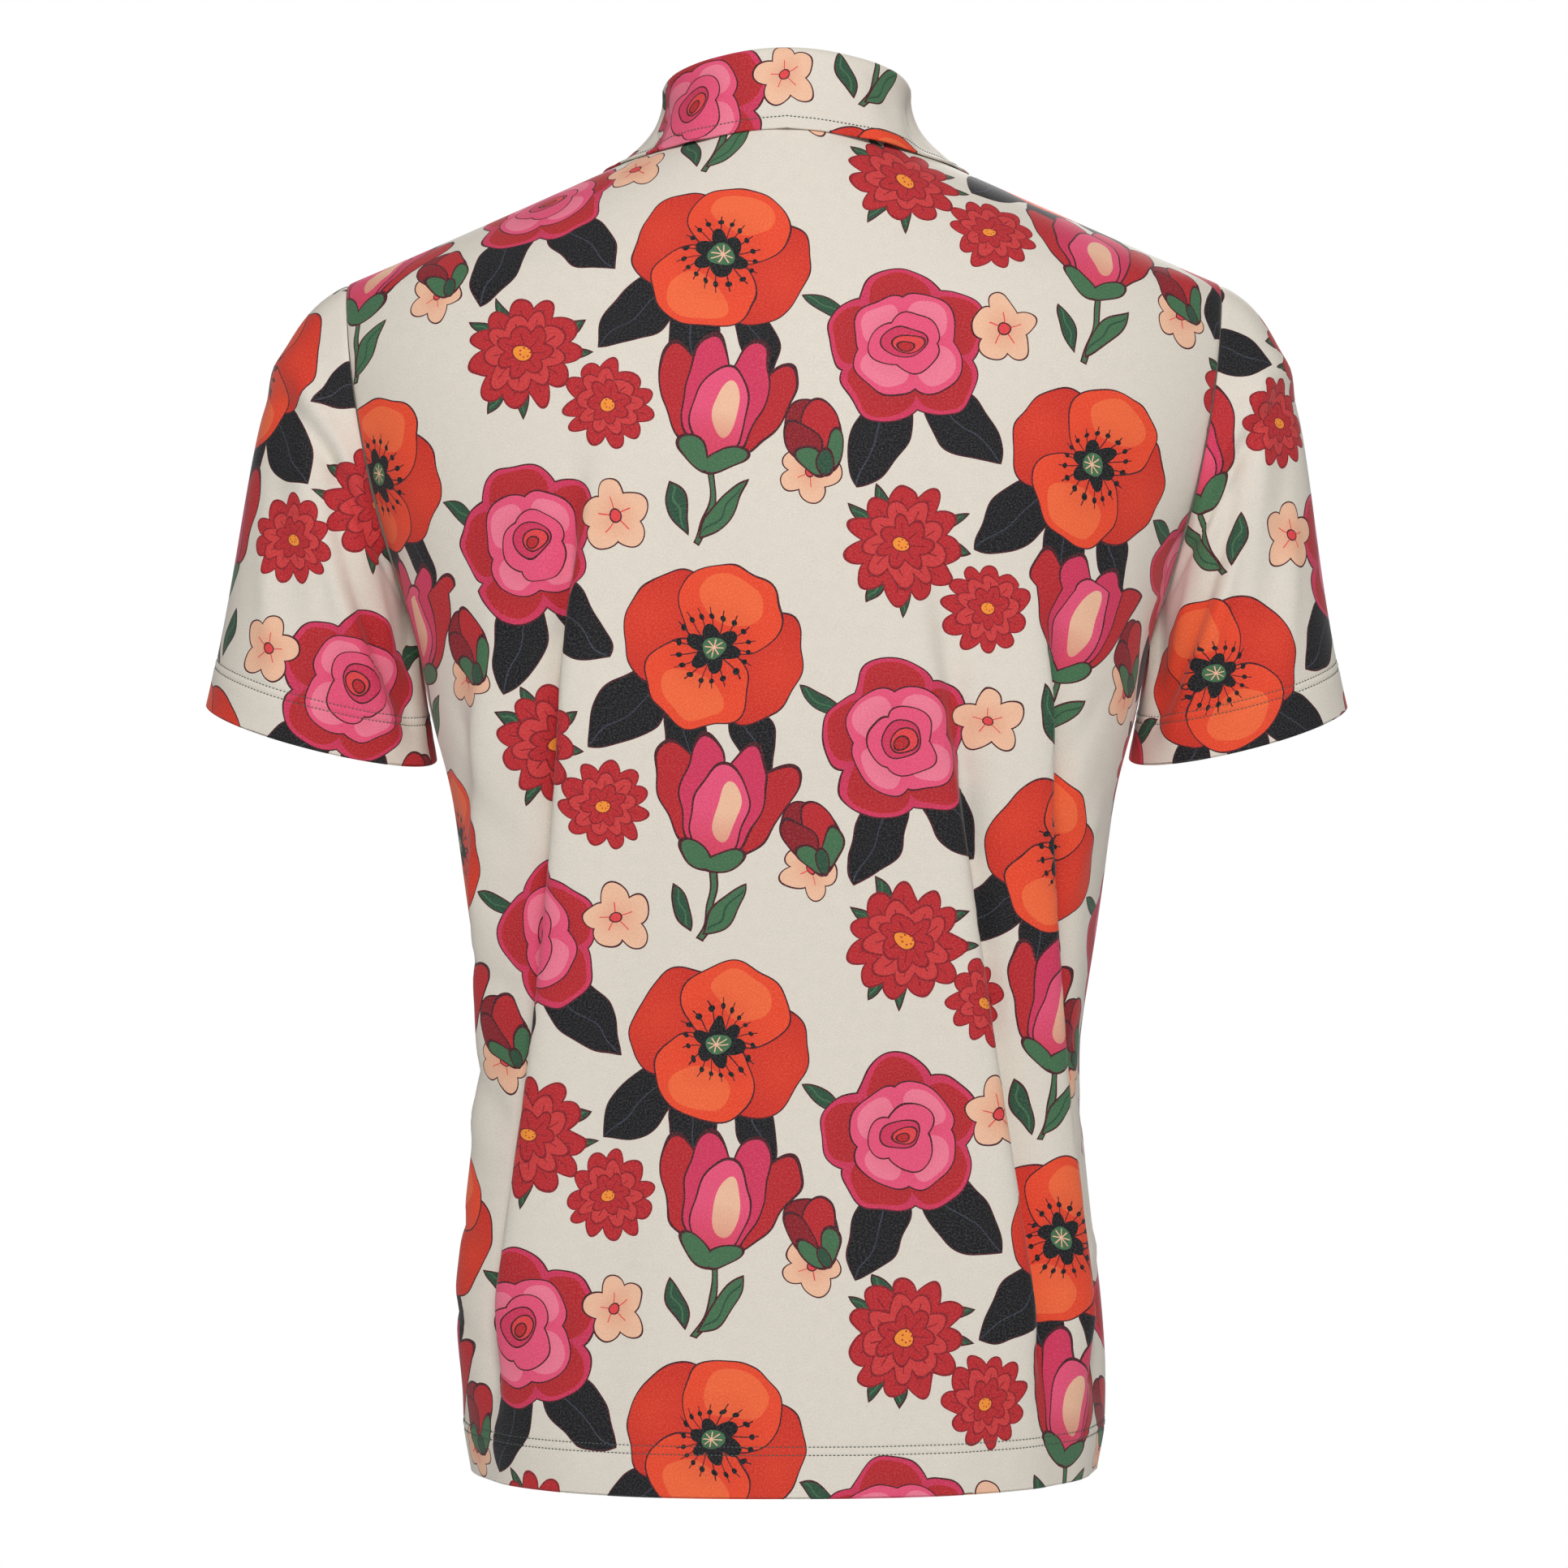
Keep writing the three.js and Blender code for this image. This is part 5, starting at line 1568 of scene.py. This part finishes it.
def button_mesh(name, centre, face):
    """A turned button: dished middle, raised rim, sewing holes."""
    turn = Vector((0, 0, 1)).rotation_difference(face).to_matrix()

    def put(x, y, z):
        return (turn @ Vector((x, y, z)) + centre) * MM

    profile = [(BUTTON.radius - inset, height) for inset, height in BUTTON_BACK]
    profile += [(BUTTON.radius - inset, BUTTON.thick - deep) for inset, deep in BUTTON_FACE]
    thing = turned_mesh(name, profile, BUTTON.segments, put)
    drills = []
    for i in range(BUTTON_HOLES.count):
        angle = (2 * i + 1) * math.pi / BUTTON_HOLES.count
        size = {"radius": BUTTON_HOLES.radius * MM, "depth": 3 * BUTTON.thick * MM}
        bpy.ops.mesh.primitive_cylinder_add(vertices=BUTTON_HOLES.segments, **size)
        drill = bpy.context.object
        drill.data.transform(turn.to_4x4())
        at = put(BUTTON_HOLES.out * math.cos(angle), BUTTON_HOLES.out * math.sin(angle), BUTTON.thick / 2)
        drill.data.transform(Matrix.Translation(at))
        cut = thing.modifiers.new("Hole", "BOOLEAN")
        cut.operation = "DIFFERENCE"
        cut.solver = "EXACT"
        cut.object = drill
        drills.append(drill)
    made_plain(thing)
    for drill in drills:
        bpy.data.objects.remove(drill)
    thing.data.polygons.foreach_set("use_smooth", [True] * len(thing.data.polygons))
    thing.data.set_sharp_from_angle(angle=math.radians(BUTTON.sharp))
    return thing


# ---- the stage ----
def floor(stage):
    """A pale round floor, far below the shirt, which stands in the air."""
    angles = [2 * math.pi * i / FLOOR_SIDES for i in range(FLOOR_SIDES)]
    rim = [(stage.reach * math.cos(angle), stage.reach * math.sin(angle), stage.floor) for angle in angles]
    mesh = bpy.data.meshes.new("floor")
    mesh.from_pydata(rim, [], [range(FLOOR_SIDES)])
    shader = Shader("pale floor")
    fibre = shader.noise(shader.object_place(), 40.0, 3.0)
    colour = tuple(stage.paper)
    base = shader.mix(fibre, tuple(0.98 * c for c in colour), colour)
    gloss = {"Roughness": 0.9, "Specular_IOR_Level": 0.1, "Emission_Strength": 0.3}
    mesh.materials.append(shader.surface(base, **gloss))
    linked("floor", mesh)


def lights(stage):
    """A white studio: soft light from all round, dimmer than the white that is seen behind the shirt, a large
    lamp high before the back with a weak one below it, and another large one high before the front."""
    world = bpy.data.worlds.new("studio")
    bpy.context.scene.world = world
    world.use_nodes = True
    tree = world.node_tree
    background = tree.nodes["Background"]
    background.inputs["Color"].default_value = (1, 1, 1, 1)
    seen = tree.nodes.new("ShaderNodeLightPath")
    strength = tree.nodes.new("ShaderNodeMath")
    strength.operation = "MULTIPLY_ADD"
    strength.inputs[1].default_value = 1 - stage.ambient
    strength.inputs[2].default_value = stage.ambient
    tree.links.new(seen.outputs["Is Camera Ray"], strength.inputs[0])
    tree.links.new(strength.outputs[0], background.inputs["Strength"])
    for row in LIGHTS:
        lamp = bpy.data.lights.new(row.name, "AREA")
        lamp.shape = "DISK"
        lamp.size = row.size
        lamp.energy = row.power
        thing = linked(row.name, lamp)
        thing.location = row.place
        aim = Vector(row.aim) - Vector(row.place)
        thing.rotation_euler = aim.to_track_quat("-Z", "Y").to_euler()


def camera(stage):
    """A level camera behind the wearer, on the centre line."""
    eye = bpy.data.cameras.new("camera")
    eye.lens = stage.lens
    eye.sensor_width = SENSOR
    thing = linked("camera", eye)
    thing.location = (0, stage.distance, stage.height)
    thing.rotation_euler = (math.pi / 2, 0, math.pi)
    scene = bpy.context.scene
    scene.camera = thing
    scene.view_settings.view_transform = "Standard"


# ---- one operator for each piece or group ----
class ShirtPanels(bpy.types.Operator):
    """Front and back panels, with their turned-up hems and hem stitches"""

    bl_idname = "polo.panels"
    bl_label = "Front and back"

    def execute(self, context):
        cloth, sewing = context.scene.shirt_cloth, context.scene.shirt_sewing
        above = np.array([z - HEM_Z for z, _ in panel_rows()])
        lines = []
        for side, facing in FACING.items():
            grid, places = panel_grid(side)
            keep = slot_cut(grid) if side == "front" else None
            thing = hemmed_wall(side + "_cloth", grid, places, above, facing, cloth, keep=keep)
            faces = (face_material(side), reverse_material())
            wear_sheet(thing, side + "_panel", places, HEM_DEPTH, "hung", *faces)
            lines += hem_lines(grid, grid_normals(grid, facing), 0, HEM_ROWS)
        sew("hem_stitches", lines, sewing, "printed_jersey")
        return {"FINISHED"}


class ShirtSleeves(bpy.types.Operator):
    """Both set-in sleeves, with their hems and stitches"""

    bl_idname = "polo.sleeves"
    bl_label = "Sleeves"

    def execute(self, context):
        cloth, sewing = context.scene.shirt_cloth, context.scene.shirt_sewing
        lines = []
        for side, size in SLEEVE_SIDES.items():
            grid, places = sleeve_grid(size)
            first = len(grid) - len(SLEEVE_HEM_ROWS)
            from_hem = np.array([math.inf] * first + [*SLEEVE_HEM_ROWS])
            name = "sleeve_" + side
            thing = hemmed_wall(name + "_cloth", grid, places, from_hem, size.sign, cloth, wraps=True)
            faces = (face_material("sleeve " + side), reverse_material())
            wear_sheet(thing, name, places, HEM_DEPTH, "hung", *faces)
            lines += hem_lines(grid, grid_normals(grid, size.sign, wraps=True), first, SLEEVE_HEM_ROWS)
        sew("sleeve_stitches", lines, sewing, "printed_jersey")
        return {"FINISHED"}


class ShirtCollar(bpy.types.Operator):
    """The collar's stand and fall, with the fall's topstitching"""

    bl_idname = "polo.collar"
    bl_label = "Collar"

    def execute(self, context):
        thick = context.scene.shirt_cloth.collar / MM
        posts = collar_posts()
        grids = {"collar_stand": stand_grid(posts), "collar_fall": fall_grid(posts)}
        for name, grid in grids.items():
            places = measured_places(grid)
            thing = wall_mesh(name + "_cloth", grid, places, 1, thick, inner_slot=0)
            wear_sheet(thing, name, places, 0, "folded", face_material("collar"))
        line = topstitch_line(grids["collar_fall"])
        sew("collar_stitches", [line], context.scene.shirt_sewing, "printed_jersey")
        return {"FINISHED"}


class ShirtPlacket(bpy.types.Operator):
    """The placket's two strips and their topstitching"""

    bl_idname = "polo.placket"
    bl_label = "Placket"

    def execute(self, context):
        offs = {"placket_over": SEAM_GAP + PLACKET.cloth, "placket_under": -PLACKET.under - SEAM_GAP}
        for name, off in offs.items():
            grid = placket_grid(off)
            places = measured_places(grid) * (1, -1)
            thing = wall_mesh(name + "_cloth", grid, places, 1, PLACKET.shell, inner_slot=0)
            wear_sheet(thing, name, places, 0, "hung", face_material("placket"))
        grid = placket_grid(offs["placket_over"])
        normals = grid_normals(grid, 1)
        inside = slice(len(PLACKET_EDGES), -len(PLACKET_EDGES))
        lines = [raised(grid[:, c], normals[:, c]) for c in PLACKET_STITCHES.columns]
        lines += [raised(grid[r, inside], normals[r, inside]) for r in PLACKET_STITCHES.rows]
        sew("placket_stitches", lines, context.scene.shirt_sewing, "printed_jersey")
        return {"FINISHED"}


class ShirtButtons(bpy.types.Operator):
    """The three placket buttons and the thread that holds them"""

    bl_idname = "polo.buttons"
    bl_label = "Buttons"

    def execute(self, context):
        resin = material(button_material, "button resin")
        half = BUTTON.radius
        side = Vector((1, 0, 0))
        hole = BUTTON_HOLES.out / math.sqrt(2)
        lines = []
        for i, below in enumerate(BUTTON.below, 1):
            z = np.float64(FRONT_NECK_Z - below)
            slope = (depth_at("front", 0.0, z + half) - depth_at("front", 0.0, z - half)) / (2 * half)
            face = Vector((0, -1, slope)).normalized()
            off = face * (SEAM_GAP + PLACKET.cloth + BUTTON.off)
            centre = Vector((0, depth_at("front", 0.0, z), z)) + off
            name = "button_" + str(i)
            wear(button_mesh(name + "_turned", centre, face), name, "button_plastic", resin)
            top = centre + face * (BUTTON.thick - BUTTON_THREAD.deep)
            reach = face.cross(side) * hole
            for x in (-hole, hole):
                ends = [top + side * x + reach * s for s in (-BUTTON_THREAD.reach, BUTTON_THREAD.reach)]
                lines.append((np.array(ends), np.array([face, face])))
        sew("button_thread", lines, context.scene.shirt_sewing, "button_plastic")
        return {"FINISHED"}


class ShirtStageMaker(bpy.types.Operator):
    """Floor and backdrop, lights and camera"""

    bl_idname = "polo.stage"
    bl_label = "Stage"

    def execute(self, context):
        for make in (floor, lights, camera):
            make(context.scene.shirt_stage)
        return {"FINISHED"}


class ShirtPanel(bpy.types.Panel):
    """Lists the shirt's makers and their sizes"""

    bl_idname = "VIEW3D_PT_polo_shirt"
    bl_label = "Polo shirt"
    bl_space_type = "VIEW_3D"
    bl_region_type = "UI"
    bl_category = "Polo shirt"

    def draw(self, context):
        for group in ("shirt_cloth", "shirt_sewing", "shirt_stage"):
            values = getattr(context.scene, group)
            for name in values.__annotations__:
                self.layout.prop(values, name)
        for operator in OPERATORS:
            self.layout.operator(operator.bl_idname)


OPERATORS = (ShirtPanels, ShirtSleeves, ShirtCollar, ShirtPlacket, ShirtButtons, ShirtStageMaker)
GROUPS = {"shirt_cloth": ShirtCloth, "shirt_sewing": ShirtSewing, "shirt_stage": ShirtStage}


def register():
    for item in (*GROUPS.values(), *OPERATORS, ShirtPanel):
        bpy.utils.register_class(item)
    for name, group in GROUPS.items():
        setattr(bpy.types.Scene, name, PointerProperty(type=group))


def unregister():
    for name in GROUPS:
        delattr(bpy.types.Scene, name)
    for item in (ShirtPanel, *reversed(OPERATORS), *reversed(GROUPS.values())):
        bpy.utils.unregister_class(item)


def main():
    register()
    bpy.ops.polo.stage()
    bpy.ops.polo.panels()
    bpy.ops.polo.sleeves()
    bpy.ops.polo.collar()
    bpy.ops.polo.placket()
    bpy.ops.polo.buttons()
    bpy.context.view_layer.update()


if __name__ == "__main__":
    main()
